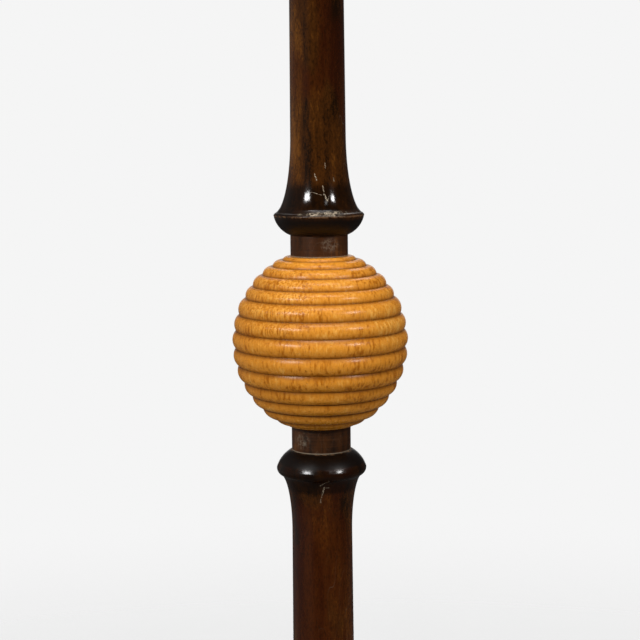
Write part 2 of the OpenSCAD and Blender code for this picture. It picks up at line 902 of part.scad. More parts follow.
module terminal_screws() {
    color(brass)
    for (x = [-1, 1])
        translate([x * terminal_x, 0, socket_z + cap_dome_h - terminal_t])
            cylinder(r = terminal_r, h = terminal_t, $fn = small_fn);
}

module screw_shell() {
    color(brass)
    translate([0, 0, socket_z + core_top_z])
    difference() {
        cylinder(r = screw_shell_r, h = socket_h - core_top_z - 3);
        hole(screw_shell_r - screw_shell_t, -cut, socket_h);
    }
}

module centre_contact() {
    color(brass)
    translate([0, 0, socket_z + core_top_z])
        cylinder(r = 5, h = contact_t, $fn = small_fn);
}

module switch_key() {
    color("#241c18")
    translate([0, 0, socket_z + key_z]) {
        translate([0, -core_body_r + key_in, 0]) rotate([90, 0, 0])
            cylinder(r = key_r, h = key_in + socket_r - core_body_r + key_out, $fn = small_fn);
        translate([0, -socket_r - key_out + key_paddle_r, 0]) rotate([-90, 0, 0])
            cylinder(r = key_r + 1.2, h = 3, $fn = small_fn);
        translate([-key_paddle_t / 2, -socket_r - key_out, 0]) rotate([0, 90, 0])
            cylinder(r = key_paddle_r, h = key_paddle_t);
    }
}

// ---------------------------------------------------------------- bulb

module bulb_contact() {
    color("#202020")
    translate([0, 0, bulb_z])
        turned([[4, 0], [4.6, 0.8], [bulb_cap_r - 1.5, bulb_tip_h]]);
}

module bulb_cap() {
    color(steel)
    translate([0, 0, bulb_z + bulb_tip_h])
    difference() {
        cylinder(r = bulb_cap_r, h = bulb_cap_h);
        hole(bulb_cap_r - 0.4, 1, bulb_cap_h);
    }
}

// The glass outline from its neck up over the crown, out by a wall's thickness or on its inside
function glass(out) =
    let (
        r = bulb_r - out,
        neck = [bulb_neck_r - 1 - out, bulb_tip_h + bulb_cap_h],
        middle = bulb_l - bulb_r,
        join = [r * cos(bulb_join), middle - r * sin(bulb_join)],
        lean = atan((join[0] - neck[0]) / (join[1] - neck[1]))
    )
    concat(
        [[neck[0], neck[1] - 6]],
        arc(neck, join, -2 * lean),
        [for (i = [1:2 * curve_n]) let (a = -bulb_join + (90 + bulb_join) * i / 2 / curve_n)
            [r * cos(a), middle + r * sin(a)]]
    );

module bulb_glass() {
    color("#f4f1e6")
    translate([0, 0, bulb_z])
    difference() {
        rotate_extrude() polygon(concat([[0, glass(0)[0][1]]], glass(0)));
        rotate_extrude() polygon(concat([[0, glass(bulb_wall)[0][1]]], glass(bulb_wall)));
        hole(glass(bulb_wall)[0][0], bulb_tip_h + bulb_cap_h - 6 - cut, 6);
    }
}

// ---------------------------------------------------------------- harp

module harp_saddle() {
    color(brass)
    translate([0, 0, saddle_z])
    difference() {
        union() {
            translate([-peg_x, -saddle_y / 2, 0]) cube([saddle_w, saddle_y, saddle_t]);
            for (x = [-1, 1]) translate([x * peg_x, 0, 0]) {
                cylinder(r = saddle_pad_r, h = saddle_t);
                cylinder(r = wire_r, h = peg_h, $fn = small_fn);
            }
        }
        tube_hole(saddle_t);
    }
}

// A straight length of wire that runs down from here, with what follows at its lower end
module wire_down(l) {
    translate([0, 0, -l]) {
        cylinder(r = wire_r, h = l, $fn = small_fn);
        children();
    }
}

// A bend of the wire towards the left, with what follows at its lower end
module wire_left(r) {
    translate([-r, 0, 0]) {
        rotate([90, 0, 0]) rotate([0, 0, -bend_angle])
            rotate_extrude(angle = bend_angle)
                translate([r, 0]) circle(r = wire_r, $fn = small_fn);
        rotate([0, bend_angle, 0]) translate([r, 0, 0]) children();
    }
}

module wire_right(r) {
    mirror([1, 0, 0]) wire_left(r) mirror([1, 0, 0]) children();
}

// The right side of the harp, from the top arc down to the end of its leg
module harp_side() {
    translate([harp_side_x, 0, harp_arc_z])
        wire_down(harp_side_l)
        wire_left(bend_high_r)
        wire_down(bend_slant)
        wire_right(bend_low_r)
        wire_down(harp_leg);
}

module harp() {
    color(brass)
    translate([0, 0, peg_top_z])
    union() {
        harp_side();
        mirror([1, 0, 0]) harp_side();
        translate([0, 0, harp_arc_z]) rotate([90, 0, 0])
            rotate_extrude(angle = 180)
                translate([harp_side_x, 0]) circle(r = wire_r, $fn = small_fn);
        translate([0, 0, harp_h - harp_hub_t / 2]) cylinder(r = harp_hub_r, h = harp_hub_t);
        translate([0, 0, harp_h + harp_hub_t / 2 - cut]) cylinder(r = stud_r, h = stud_l + cut);
    }
}

module sleeve(x) {
    color(brass)
    translate([x, 0, saddle_z + saddle_t])
    difference() {
        cylinder(r = sleeve_r, h = sleeve_l);
        hole(sleeve_bore_r, -cut, sleeve_l + 2 * cut);
    }
}

module sleeve_left() {
    sleeve(-peg_x);
}

module sleeve_right() {
    sleeve(peg_x);
}

// ---------------------------------------------------------------- shade

// Inside radius of the shade at z above its bottom edge
function shade_bore(z) = shade_bottom_r - shade_slope * z - shade_t * sqrt(1 + pow(shade_slope, 2));

module shade_shell() {
    color(linen)
    translate([0, 0, shade_z])
    rotate_extrude()
        polygon([[shade_bore(0), 0], [shade_bottom_r, 0], [shade_top_r, shade_h],
                 [shade_bore(shade_h), shade_h]]);
}

// A ring of round wire that lies just inside the shade, z above its bottom edge
function ring_at(z) = shade_bottom_r - shade_slope * z - ring_side_gap;

module wire_ring(z) {
    translate([0, 0, shade_z + z])
    rotate_extrude() translate([ring_at(z), 0]) circle(r = ring_wire_r, $fn = small_fn);
}

module shade_spider() {
    ring_z = shade_h - ring_inset;
    color(brass)
    difference() {
        union() {
            wire_ring(ring_z);
            translate([0, 0, hub_top_z]) cylinder(r = hub_r, h = hub_t);
            for (a = [30, 150, 270])
                rotate([0, 0, a])
                    rod([hub_r - 3, 0, hub_top_z + hub_t / 2],
                        [ring_at(ring_z), 0, shade_z + ring_z], arm_r);
        }
        hole(hub_bore_r, hub_top_z - cut, hub_t + 2 * cut);
    }
}

module shade_bottom_ring() {
    color(brass) wire_ring(ring_inset);
}

module finial() {
    color(brass)
    translate([0, 0, finial_z])
    difference() {
        turned(concat(
            arc([finial_foot_r, 0], [finial_foot_r, 3], 120, bead_n),
            arc([finial_foot_r - 1, 3], [finial_foot_r - 1, finial_h * 0.38], -80, bead_n),
            arc([finial_foot_r - 1, finial_h * 0.38], [2, finial_h - 4], 150),
            arc([2, finial_h - 4], [0.2, finial_h], 100, bead_n)
        ));
        hole(finial_bore_r, -cut, finial_bore_l + cut);
    }
}

felt_ring();
underside_cover();
cover_screws();
base_weight();
weight_screws();
plinth();
cable_bush();
connector_block();
connector_screws();
inner_lead();
bottom_nut();
bottom_washer();
lamp_tube();
pedestal();
foot_neck();
lower_shaft();
lower_neck();
ribbed_ball();
upper_neck();
upper_shaft();
top_neck();
candle_pan();
candle_cup();
check_ring();
top_nut();
harp_saddle();
socket_cap();
cap_set_screw();
socket_shell();
socket_liner();
socket_core();
terminal_screws();
screw_shell();
centre_contact();
switch_key();
bulb_contact();
bulb_cap();
bulb_glass();
harp();
sleeve_left();
sleeve_right();
shade_shell();
shade_spider();
shade_bottom_ring();
finial();
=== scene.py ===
"""The looks of a candlestick floor lamp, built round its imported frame."""

import math

import bmesh
import bpy
from mathutils import Matrix, Quaternion, Vector


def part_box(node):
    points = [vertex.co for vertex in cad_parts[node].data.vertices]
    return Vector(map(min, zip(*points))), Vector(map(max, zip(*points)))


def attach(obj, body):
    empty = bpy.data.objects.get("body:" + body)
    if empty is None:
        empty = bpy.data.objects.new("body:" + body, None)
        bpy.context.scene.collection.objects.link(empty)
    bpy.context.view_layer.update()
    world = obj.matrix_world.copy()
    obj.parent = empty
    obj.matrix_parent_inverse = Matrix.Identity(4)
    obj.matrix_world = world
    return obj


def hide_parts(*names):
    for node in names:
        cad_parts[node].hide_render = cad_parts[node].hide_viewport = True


bl_info = {
    "name": "Candlestick Floor Lamp",
    "version": (1, 0, 0),
    "blender": (4, 5, 0),
    "location": "3D View > Sidebar > Lamp",
    "description": "Turned column with a ribbed ball, candle top, harp and linen shade",
    "category": "Add Mesh",
}

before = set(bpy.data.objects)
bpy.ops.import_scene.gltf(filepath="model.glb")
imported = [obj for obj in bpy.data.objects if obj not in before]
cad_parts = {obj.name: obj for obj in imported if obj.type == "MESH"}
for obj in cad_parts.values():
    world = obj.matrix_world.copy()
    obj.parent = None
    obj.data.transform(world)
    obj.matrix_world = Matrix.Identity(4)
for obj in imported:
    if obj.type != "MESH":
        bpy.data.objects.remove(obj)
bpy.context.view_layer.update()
BOX = {node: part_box(node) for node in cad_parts}


def foot_of(node):
    return BOX[node][0].z


def top_of(node):
    return BOX[node][1].z


def radius_of(node):
    return BOX[node][1].x


def middle_of(node, axis="z"):
    """Where a CAD node's middle is along one axis."""
    return sum(getattr(corner, axis) for corner in BOX[node]) / 2


MORTISE_DEPTH = 0.0205
RIGHT_ANGLE = math.radians(90)


# ---------------------------------------------------------------- sizes and colours


def size(name, text, value):
    """A length that a user may change, in metres."""
    return bpy.props.FloatProperty(
        name=name, description=text, default=value, min=0.0, max=4.0, precision=4, unit="LENGTH")


def tint(name, text, *srgb):
    """A colour that a user may change, given as it looks, from 0 to 255."""
    linear = [(c / 255 / 12.92 if c <= 10 else ((c / 255 + 0.055) / 1.055) ** 2.4) for c in srgb]
    return bpy.props.FloatVectorProperty(
        name=name, description=text, default=linear, min=0.0, max=1.0, size=3, subtype="COLOR")


class LampSizes(bpy.types.PropertyGroup):
    steps: bpy.props.IntProperty(
        name="Turning steps", description="Steps in a full turn of a large piece",
        default=160, min=32, max=256)
    ease: size("Eased corner", "How far a sharp corner on turned work is rounded", 0.0004)
    lower_lip: size("Lower lip", "Radius of the rolled lips of the lower shaft",
                    radius_of("lower_shaft"))
    lower_flare: size("Lower flare", "Length of the flare behind a lower lip", 0.040)
    upper_lip: size("Upper lip", "Radius of the rolled lips of the upper shaft",
                    radius_of("upper_shaft"))
    upper_flare: size("Upper flare", "Length of the flare behind an upper lip", 0.053)
    foot_neck: size("Foot neck", "Radius of the neck over the pedestal", radius_of("foot_neck"))
    lower_neck: size("Lower neck", "Radius of the neck under the ball", radius_of("lower_neck"))
    upper_neck: size("Upper neck", "Radius of the neck over the ball", radius_of("upper_neck"))
    top_neck: size("Top neck", "Radius of the neck under the candle pan", radius_of("top_neck"))
    lower_shaft_foot: size("Lower shaft, foot", "Radius over its bottom bell", 0.0235)
    lower_shaft_top: size("Lower shaft, top", "Radius under its top bell", 0.0210)
    upper_shaft_foot: size("Upper shaft, foot", "Radius over its bottom bell", 0.0190)
    upper_shaft_top: size("Upper shaft, top", "Radius under its top bell", 0.01725)
    tube_bore: size("Tube bore", "Radius of the hole for the tube in each turned piece", 0.00525)
    mortise: size("Mortise", "Radius of the mortises for the necks' tenons", 0.0131)
    ball: size("Ball", "Radius of the ball over its widest bead", 0.0605)
    bead_depth: size("Bead depth", "How far the widest bead stands out of its grooves", 0.0024)
    plinth_edge: size("Plinth edge", "Height of the plinth's rolled edge", 0.022)
    wire: size("Harp wire", "Radius of the harp's wire", 0.0016)
    shade_wall: size("Shade wall", "Thickness of the shade's linen and liner together", 0.0012)
    trim: size("Shade trim", "Height of the binding at the shade's edges", 0.009)
    thread: size("Thread of the linen", "Distance from one thread to the next", 0.0009)
    cap_pitch: size("Cap thread", "Pitch of the rolled thread on the bulb's cap", 0.00362)


class LampColours(bpy.types.PropertyGroup):
    # Dark, made darker still, also paints shade on rings next to the necks and in corners that go
    # in.
    dark: tint("Dark wood", "Darkest streaks of the polished wood", 27, 12, 2)
    brown: tint("Brown wood", "Body colour of the polished wood", 60, 31, 6)
    warm: tint("Warm wood", "Warm streaks of the polished wood", 108, 64, 18)
    russet: tint("Russet wood", "Red patches of the polished wood", 56, 18, 2)
    # Worn also paints a highlight on the edges that stand out, such as the lips' rims.
    worn: tint("Worn wood", "Wood that shows where the polish is rubbed through", 150, 112, 78)
    # Scuff also paints the highlight along the upper lip and the pale line at each neck's foot.
    scuff: tint("Scuffs", "Dry marks in the polish", 186, 170, 146)
    honey: tint("Honey wood", "Body colour of the ball", 212, 137, 42)
    straw: tint("Straw wood", "Lightest grain of the ball", 236, 172, 78)
    # Amber also paints the shade across the ball's grooves.
    amber: tint("Amber wood", "Darker grain of the ball", 166, 94, 8)
    grime: tint("Grime", "Old polish in the ball's grooves and pores", 84, 44, 3)
    brass: tint("Brass", "Clean brass", 214, 180, 112)
    tarnish: tint("Tarnish", "Brass that has darkened", 134, 98, 52)
    steel: tint("Steel", "Plated steel", 176, 176, 172)
    linen: tint("Linen", "Body colour of the shade", 226, 214, 190)
    # A darker copy of the slubs paints the shade between the linen's threads.
    slub: tint("Slubs", "Darker threads in the linen", 190, 172, 140)
    felt: tint("Felt", "Felt under the plinth", 62, 78, 48)


class StudioSetup(bpy.types.PropertyGroup):
    lens: bpy.props.FloatProperty(
        name="Lens", description="Focal length on a sensor 36 mm wide, in millimetres",
        default=84.4, min=10.0, max=300.0)
    stand_off: size("Stand-off", "Distance from the column to the camera", 1.027)
    eye: size("Eye height", "Height of the camera", 0.8998)
    aim: size("Aim height", "Height that the camera looks at", 0.7704)
    roll: bpy.props.FloatProperty(
        name="Roll", description="How far the camera leans", default=math.radians(0.64),
        min=-0.5, max=0.5, subtype="ANGLE")
    backdrop: bpy.props.FloatProperty(
        name="Backdrop", description="Strength of the pale backdrop, where 1 is white",
        default=0.913, min=0.0, max=1.0)
    fill: bpy.props.FloatProperty(
        name="Fill", description="Strength of the soft light from all round",
        default=0.24, min=0.0, max=1.0)
    room: bpy.props.FloatProperty(
        name="Room", description="Brightness of the rest of the room, as polished pieces mirror it",
        default=0.04, min=0.0, max=1.0)
    floor: size("Floor", "Radius at which the floor has faded into the backdrop", 2.4)


# ---------------------------------------------------------------- outlines


def arc(start, end, sweep, steps=12):
    """Points from start to end on an arc that turns left by sweep degrees, or right if negative."""
    start, end = Vector(start), Vector(end)
    chord = end - start
    centre = (start + end) / 2 + Vector((-chord.y, chord.x)) / 2 / math.tan(math.radians(sweep) / 2)
    spoke = start - centre
    points = []
    for i in range(steps + 1):
        a = math.radians(sweep) * i / steps
        c, s = math.cos(a), math.sin(a)
        points.append((centre.x + spoke.x * c - spoke.y * s, centre.y + spoke.x * s + spoke.y * c))
    return points


def bulge(chord, sweep):
    """How far an arc of sweep degrees stands out over its chord."""
    return chord / 2 * math.tan(math.radians(sweep / 4))


def flare(start, end, width, length, height, steps=22):
    """A quarter of an ellipse from radius start in to radius end, going up from height."""
    first = math.asin(1 - (start - end) / width)
    turns = [first + (math.pi / 2 - first) * i / steps for i in range(steps + 1)]
    return [(end + width * (1 - math.sin(a)), height + length * (math.cos(first) - math.cos(a)))
            for a in turns]


def bell(neck, shaft, lip, under, sweep, edge_in, edge, roll, width, length):
    """Rounded underside, rolled lip and flare at the end of a shaft. The underside is an arc of
    sweep degrees up to height under, and the roll is one from there to edge above it."""
    corner = (lip - edge_in, under + edge)
    return (arc((neck + 0.0005, 0), (lip, under), sweep, 16)
            + arc((lip, under), corner, roll, 9)[1:]
            + flare(corner[0], shaft, max(width, corner[0] - shaft), length, corner[1])[1:])


def upended(outline, length):
    """The same outline with its other end up."""
    return [(r, length - z) for r, z in reversed(outline)]


def bored(outline, bottom=0.0, top=0.0, tenon=0.0, tube=None, mortise=None):
    """Closes an outline round the tube's hole, with mortises of those depths at its ends."""
    sizes = bpy.context.scene.lamp_sizes
    tube, mortise = tube or sizes.tube_bore, mortise or sizes.mortise
    low, high = outline[0][1], outline[-1][1]
    roof, floor = high - top, low + bottom
    inside = [(mortise, high), (mortise, roof), (tube, roof)] if top else [(tube, high)]
    inside += [(tube, floor), (mortise, floor), (mortise, low)] if bottom else [(tube, low)]
    return list(outline) + inside


def soften(outline, closed, ease, guard=0.0011, blunt=24):
    """Eases the corners of an outline that turn by more than blunt degrees. Each point gets an
    edge: 1 where a corner stands out, -1 where it goes in, and 0 elsewhere. Where there is room,
    a plain point at guard from the corner keeps that edge narrow."""
    points = [Vector(p) for p in outline]
    count = len(points)
    out = []
    for i, p in enumerate(points):
        if not closed and i in (0, count - 1):
            out.append((p.x, p.y, 0.0))
            continue
        back, ahead = points[i - 1] - p, points[(i + 1) % count] - p
        turn = math.degrees(math.pi - back.angle(ahead, math.pi))
        if turn < blunt:
            out.append((p.x, p.y, 0.0))
            continue
        edge = 1.0 if back.x * ahead.y - back.y * ahead.x < 0 else -1.0
        near = min(ease, back.length * 0.4, ahead.length * 0.4)
        a, b = p + back.normalized() * near, p + ahead.normalized() * near
        if back.length > 2.2 * (near + guard):
            q = p + back.normalized() * (near + guard)
            out.append((q.x, q.y, 0.0))
        for t in (0, 0.33, 0.67, 1):
            q = a * (1 - t) ** 2 + p * 2 * t * (1 - t) + b * t ** 2
            out.append((q.x, q.y, edge))
        if ahead.length > 2.2 * (near + guard):
            q = p + ahead.normalized() * (near + guard)
            out.append((q.x, q.y, 0.0))
    return out


# ---------------------------------------------------------------- making pieces


def turn(outline, foot=0.0, closed=True, steps=None, ease=None):
    """Turns an outline of (radius, height) points about the lamp's axis, with its corners eased."""
    sizes = bpy.context.scene.lamp_sizes
    bm = bmesh.new()
    layer = bm.verts.layers.float.new("edge")
    verts = []
    for r, z, edge in soften(outline, closed, sizes.ease if ease is None else ease):
        vert = bm.verts.new((max(r, 0.0), 0, foot + z))
        vert[layer] = edge
        verts.append(vert)
    pairs = list(zip(verts, verts[1:])) + ([(verts[-1], verts[0])] if closed else [])
    edges = [bm.edges.new(pair) for pair in pairs]
    bmesh.ops.spin(bm, geom=verts + edges, cent=(0, 0, 0), axis=(0, 0, 1), dvec=(0, 0, 0),
                   angle=math.tau, steps=steps or sizes.steps, use_merge=True)
    bmesh.ops.remove_doubles(bm, verts=bm.verts, dist=1e-7)
    bmesh.ops.recalc_face_normals(bm, faces=bm.faces)
    return bm


def place(bm, x=0.0, y=0.0, z=0.0, turn_by=0.0, axis="X"):
    """Turns a shape about an axis by an angle, then moves it."""
    matrix = Matrix.Translation((x, y, z)) @ Matrix.Rotation(turn_by, 4, axis)
    bmesh.ops.transform(bm, matrix=matrix, verts=bm.verts)
    return bm


def rod(radius, start, end, steps=32, ease=0.0):
    """A plain round bar up the axis."""
    outline = [(0, start), (radius, start), (radius, end), (0, end)]
    return turn(outline, closed=False, steps=steps, ease=ease)


def mill(bm, teeth, outer, start, end, depth):
    """Cuts the grooves of a milled edge: every second point beyond outer, from start to end."""
    for vert in bm.verts:
        out = math.hypot(vert.co.x, vert.co.y)
        step = round(math.atan2(vert.co.y, vert.co.x) / math.tau * teeth)
        if out > outer and start < vert.co.z < end and step % 2:
            vert.co.xy *= 1 - depth / out


def join(*parts):
    """One bmesh that holds several."""
    bm = bmesh.new()
    for part in parts:
        mesh = bpy.data.meshes.new("part")
        part.to_mesh(mesh)
        part.free()
        bm.from_mesh(mesh)
        bpy.data.meshes.remove(mesh)
    return bm


def model(name, bm, sharp=38):
    """An object from a bmesh, smooth apart from its sharp edges."""
    mesh = bpy.data.meshes.new(name)
    bm.to_mesh(mesh)
    bm.free()
    mesh.shade_smooth()
    mesh.set_sharp_from_angle(angle=math.radians(sharp))
    obj = bpy.data.objects.new(name, mesh)
    bpy.context.scene.collection.objects.link(obj)
    return obj


def carve(obj, bm, operation="DIFFERENCE"):
    """Cuts a shape out of a piece for good."""
    cutter = model("cutter", bm)
    change = obj.modifiers.new("carve", "BOOLEAN")
    change.operation, change.object, change.solver = operation, cutter, "EXACT"
    bpy.context.view_layer.update()
    shaped = obj.evaluated_get(bpy.context.evaluated_depsgraph_get())
    mesh = bpy.data.meshes.new_from_object(shaped)
    obj.modifiers.clear()
    old, obj.data = obj.data, mesh
    name = old.name
    bpy.data.meshes.remove(old)
    mesh.name = name
    mesh.set_sharp_from_angle(angle=math.radians(38))
    spare = cutter.data
    bpy.data.objects.remove(cutter)
    bpy.data.meshes.remove(spare)
    return obj


def fit(obj, body, finish, slot, *nodes):
    """Gives a piece its finish and its body, and hides the CAD nodes that it stands for."""
    obj.data.materials.clear()
    obj.data.materials.append(finish)
    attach(obj, body)
    if nodes:
        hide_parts(*nodes)
    return obj


def brass(name, bm, body, *nodes, sharp=38):
    """A piece of old brass."""
    return fit(model(name, bm, sharp), body, stock("aged_brass"), "brass", *nodes)


def dress(finish, *nodes):
    """Gives CAD nodes a finish."""
    for node in nodes:
        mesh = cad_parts[node].data
        mesh.materials.clear()
        mesh.materials.append(finish)


def strut(radius, start, end, sides=16):
    """A straight round bar from one point to another."""
    bar = rod(radius, 0, (end - start).length, sides, 0.0002)
    aim = Vector((0, 0, 1)).rotation_difference(end - start).to_matrix().to_4x4()
    bmesh.ops.transform(bar, matrix=Matrix.Translation(start) @ aim, verts=bar.verts)
    return bar


class Wire:
    """A round wire that grows from its first end by straight runs and bends."""

    def __init__(self, radius, start, heading, sides=20):
        self.bm = bmesh.new()
        self.at, self.heading = Vector(start), Vector(heading).normalized()
        aim = Vector((0, 0, 1)).rotation_difference(self.heading).to_matrix().to_4x4()
        bmesh.ops.create_circle(self.bm, segments=sides, radius=radius,
                                matrix=Matrix.Translation(self.at) @ aim)
        self.rim = list(self.bm.edges)
        bmesh.ops.edgeloop_fill(self.bm, edges=self.rim)

    def run(self, length):
        """Goes straight on."""
        made = bmesh.ops.extrude_edge_only(self.bm, edges=self.rim)["geom"]
        self.rim = [g for g in made if isinstance(g, bmesh.types.BMEdge)
                    and all(v in made for v in g.verts)]
        verts = {v for g in self.rim for v in g.verts}
        bmesh.ops.translate(self.bm, verts=list(verts), vec=self.heading * length)
        self.at += self.heading * length
        return self

    def bend(self, radius, degrees, axis, steps=8):
        """Turns about an axis that lies to one side, at the bend's radius."""
        axis = Vector(axis)
        centre = self.at + axis.cross(self.heading) * radius
        rim_verts = list({v for e in self.rim for v in e.verts})
        made = bmesh.ops.spin(
            self.bm, geom=rim_verts + self.rim, cent=centre, axis=axis, dvec=(0, 0, 0),
            angle=math.radians(degrees), steps=steps, use_merge=False)
        self.rim = [g for g in made["geom_last"] if isinstance(g, bmesh.types.BMEdge)]
        turned = Quaternion(axis, math.radians(degrees))
        self.at = centre + turned @ (self.at - centre)
        self.heading = turned @ self.heading
        return self

    def done(self):
        """Closes the far end and gives the shape."""
        bmesh.ops.edgeloop_fill(self.bm, edges=self.rim)
        bmesh.ops.recalc_face_normals(self.bm, faces=self.bm.faces)
        return self.bm


# ---------------------------------------------------------------- finishes


def pick(sockets, key):
    """A node's socket by its name or number. Of several with one name, the one in use."""
    if isinstance(key, int):
        return sockets[key]
    return next(s for s in sockets if s.name == key and s.enabled)


def plug(tree, socket, value):
    """Links or sets one input."""
    if isinstance(value, Amount):
        value = value.socket
    if isinstance(value, bpy.types.NodeSocket):
        tree.links.new(value, socket)
    elif socket.type == "RGBA" and len(value) == 3:
        socket.default_value = (*value, 1.0)
    else:
        socket.default_value = value


class Amount:
    """A number that varies over a surface. Arithmetic on it adds Math nodes."""

    def __init__(self, tree, socket):
        self.tree, self.socket = tree, socket

    def maths(self, operation, *values):
        node = self.tree.nodes.new("ShaderNodeMath")
        node.operation = operation
        for socket, value in zip(node.inputs, values):
            plug(self.tree, socket, value)
        return Amount(self.tree, node.outputs[0])

    def __add__(self, other):
        return self.maths("ADD", self, other)

    def __sub__(self, other):
        return self.maths("SUBTRACT", self, other)

    def __rsub__(self, other):
        return self.maths("SUBTRACT", other, self)

    def __mul__(self, other):
        return self.maths("MULTIPLY", self, other)

    def __pow__(self, other):
        return self.maths("POWER", self, other)

    __radd__, __rmul__ = __add__, __mul__

    def size(self):
        return self.maths("ABSOLUTE", self)

    def sine(self):
        return self.maths("SINE", self)

    def most(self, other):
        return self.maths("MAXIMUM", self, other)


class Finish:
    """The nodes of a finish, added one at a time."""

    def __init__(self, name, owner=None):
        self.owner = owner or bpy.data.materials.new(name)
        self.owner.use_nodes = True
        self.tree = self.owner.node_tree
        self.tree.nodes.clear()

    def node(self, kind, settings=None, **sockets):
        """Adds a node, makes its settings, then sets or links its inputs. A ramp's stops are
        a setting. Underscores in an input's name stand for spaces."""
        node = self.tree.nodes.new("ShaderNode" + kind)
        for key, value in (settings or {}).items():
            if key == "stops":
                ramp = node.color_ramp
                while len(ramp.elements) < len(value):
                    ramp.elements.new(1.0)
                for element, (at, colour) in zip(ramp.elements, value):
                    element.position, element.color = at, (*colour, 1.0)
            else:
                setattr(node, key, value)
        for key, value in sockets.items():
            plug(self.tree, pick(node.inputs, key.replace("_", " ")), value)
        return node

    def out(self, node, key=0):
        """One output of a node. A number comes wrapped, so that it can be reckoned with."""
        socket = pick(node.outputs, key)
        return Amount(self.tree, socket) if socket.type == "VALUE" else socket

    def here(self, scale=(1, 1, 1), turn=(0, 0, 0), shift=(0, 0, 0)):
        """The object's own coordinates, stretched, turned and moved."""
        at = self.out(self.node("TexCoord"), "Object")
        return self.out(self.node("Mapping", Vector=at, Scale=scale, Location=shift,
                                  Rotation=[math.radians(a) for a in turn]))

    def noise(self, at, scale, detail=2.0, roughness=0.5, distortion=0.0):
        return self.out(self.node("TexNoise", Vector=at, Scale=scale, Detail=detail,
                                  Roughness=roughness, Distortion=distortion))

    def band(self, amount, low, high):
        """0 below low and 1 over high, smooth in between. Turned round if low is the larger."""
        return self.out(self.node("MapRange", {"interpolation_type": "SMOOTHSTEP"}, Value=amount,
                                  From_Min=low, From_Max=high))

    def edge(self):
        """1 where a corner stands out, -1 where it goes in, as the piece was made."""
        return self.out(self.node("Attribute", {"attribute_name": "edge"}), "Fac")

    def ramp(self, amount, *stops):
        """A colour that runs through stops of (amount, colour)."""
        return self.out(self.node("ValToRGB", {"stops": stops}, Fac=amount), "Color")

    def mix(self, mask, a, b):
        """Colour a where the mask is 0 and colour b where it is 1."""
        settings = {"data_type": "RGBA", "blend_type": "MIX"}
        return self.out(self.node("Mix", settings, Factor=mask, A=a, B=b), "Result")

    def vector(self, how, a, b, key="Vector"):
        """Vector arithmetic. The key names the output, which is Value where it is a number."""
        node = self.node("VectorMath", {"operation": how})
        plug(self.tree, node.inputs[0], a)
        plug(self.tree, node.inputs[1], b)
        return self.out(node, key)

    def relief(self, height, depth, strength):
        """A normal for a surface that is depth metres rough."""
        return self.out(self.node("Bump", Height=height, Distance=depth, Strength=strength))

    def hairlines(self, at, scale, width):
        """Thin wandering lines, where a noise crosses its middle."""
        return self.band((self.noise(at, scale, 1.0) - 0.5).size(), width, 0.0)

    def stroke(self, start, end, width):
        """1 along a line on the front, between two points (x, z), and 0 beyond width from it."""
        start, end = (Vector((x, 0, z)) for x, z in (start, end))
        line = end - start
        at = self.vector("SUBTRACT", self.here((1, 0, 1)), start)
        along = self.out(self.node("MapRange", {"interpolation_type": "LINEAR"},
                                   Value=self.vector("DOT_PRODUCT", at, line, "Value"),
                                   From_Max=line.length_squared))
        near = self.node("VectorMath", {"operation": "SCALE"}, Scale=along)
        plug(self.tree, near.inputs[0], line)
        away = self.vector("DISTANCE", at, self.out(near), "Value")
        return self.band(away, width * 0.82, width * 0.2)

    def patch(self, centre, reach):
        """1 at a point of the object, fading to 0 at reach from it along each axis."""
        at = self.vector("SUBTRACT", self.here(), centre)
        at = self.vector("DIVIDE", at, reach)
        return self.band(self.vector("LENGTH", at, (0, 0, 0), "Value"), 1.0, 0.45)

    def rub(self, patches, scales, width, broken, low, high):
        """Crossing hairlines and broken spots round each (centre, reach), and 0 elsewhere."""
        worn = 0.0
        for centre, reach in patches:
            lines = self.hairlines(self.here((1, 1, 0.5), (30, 25, 0)), scales[0], width)
            across = self.hairlines(self.here((0.5, 1, 1), (0, -35, 0)), scales[1], width)
            spots = self.band(broken, low, high)
            here = self.patch(centre, reach) * (lines.most(across) * 0.6 + spots * 0.5)
            worn = here.most(worn)
        return worn

    def rays(self):
        """Two amounts: 1 for what is seen straight or through glass, and 1 for what is mirrored."""
        path = self.node("LightPath")
        seen = self.out(path, "Is Camera Ray").most(self.out(path, "Is Transmission Ray"))
        return seen, self.out(path, "Is Glossy Ray")

    def surface(self, **sockets):
        """The shader itself. Gives the finished material."""
        shader = self.node("BsdfPrincipled", **sockets)
        self.node("OutputMaterial", Surface=self.out(shader))
        return self.owner


GRAIN_UP = ((1, 1, 0.11), (0, 0, 0))
GRAIN_ACROSS = ((0.09, 1, 1), (0, 0, 12))


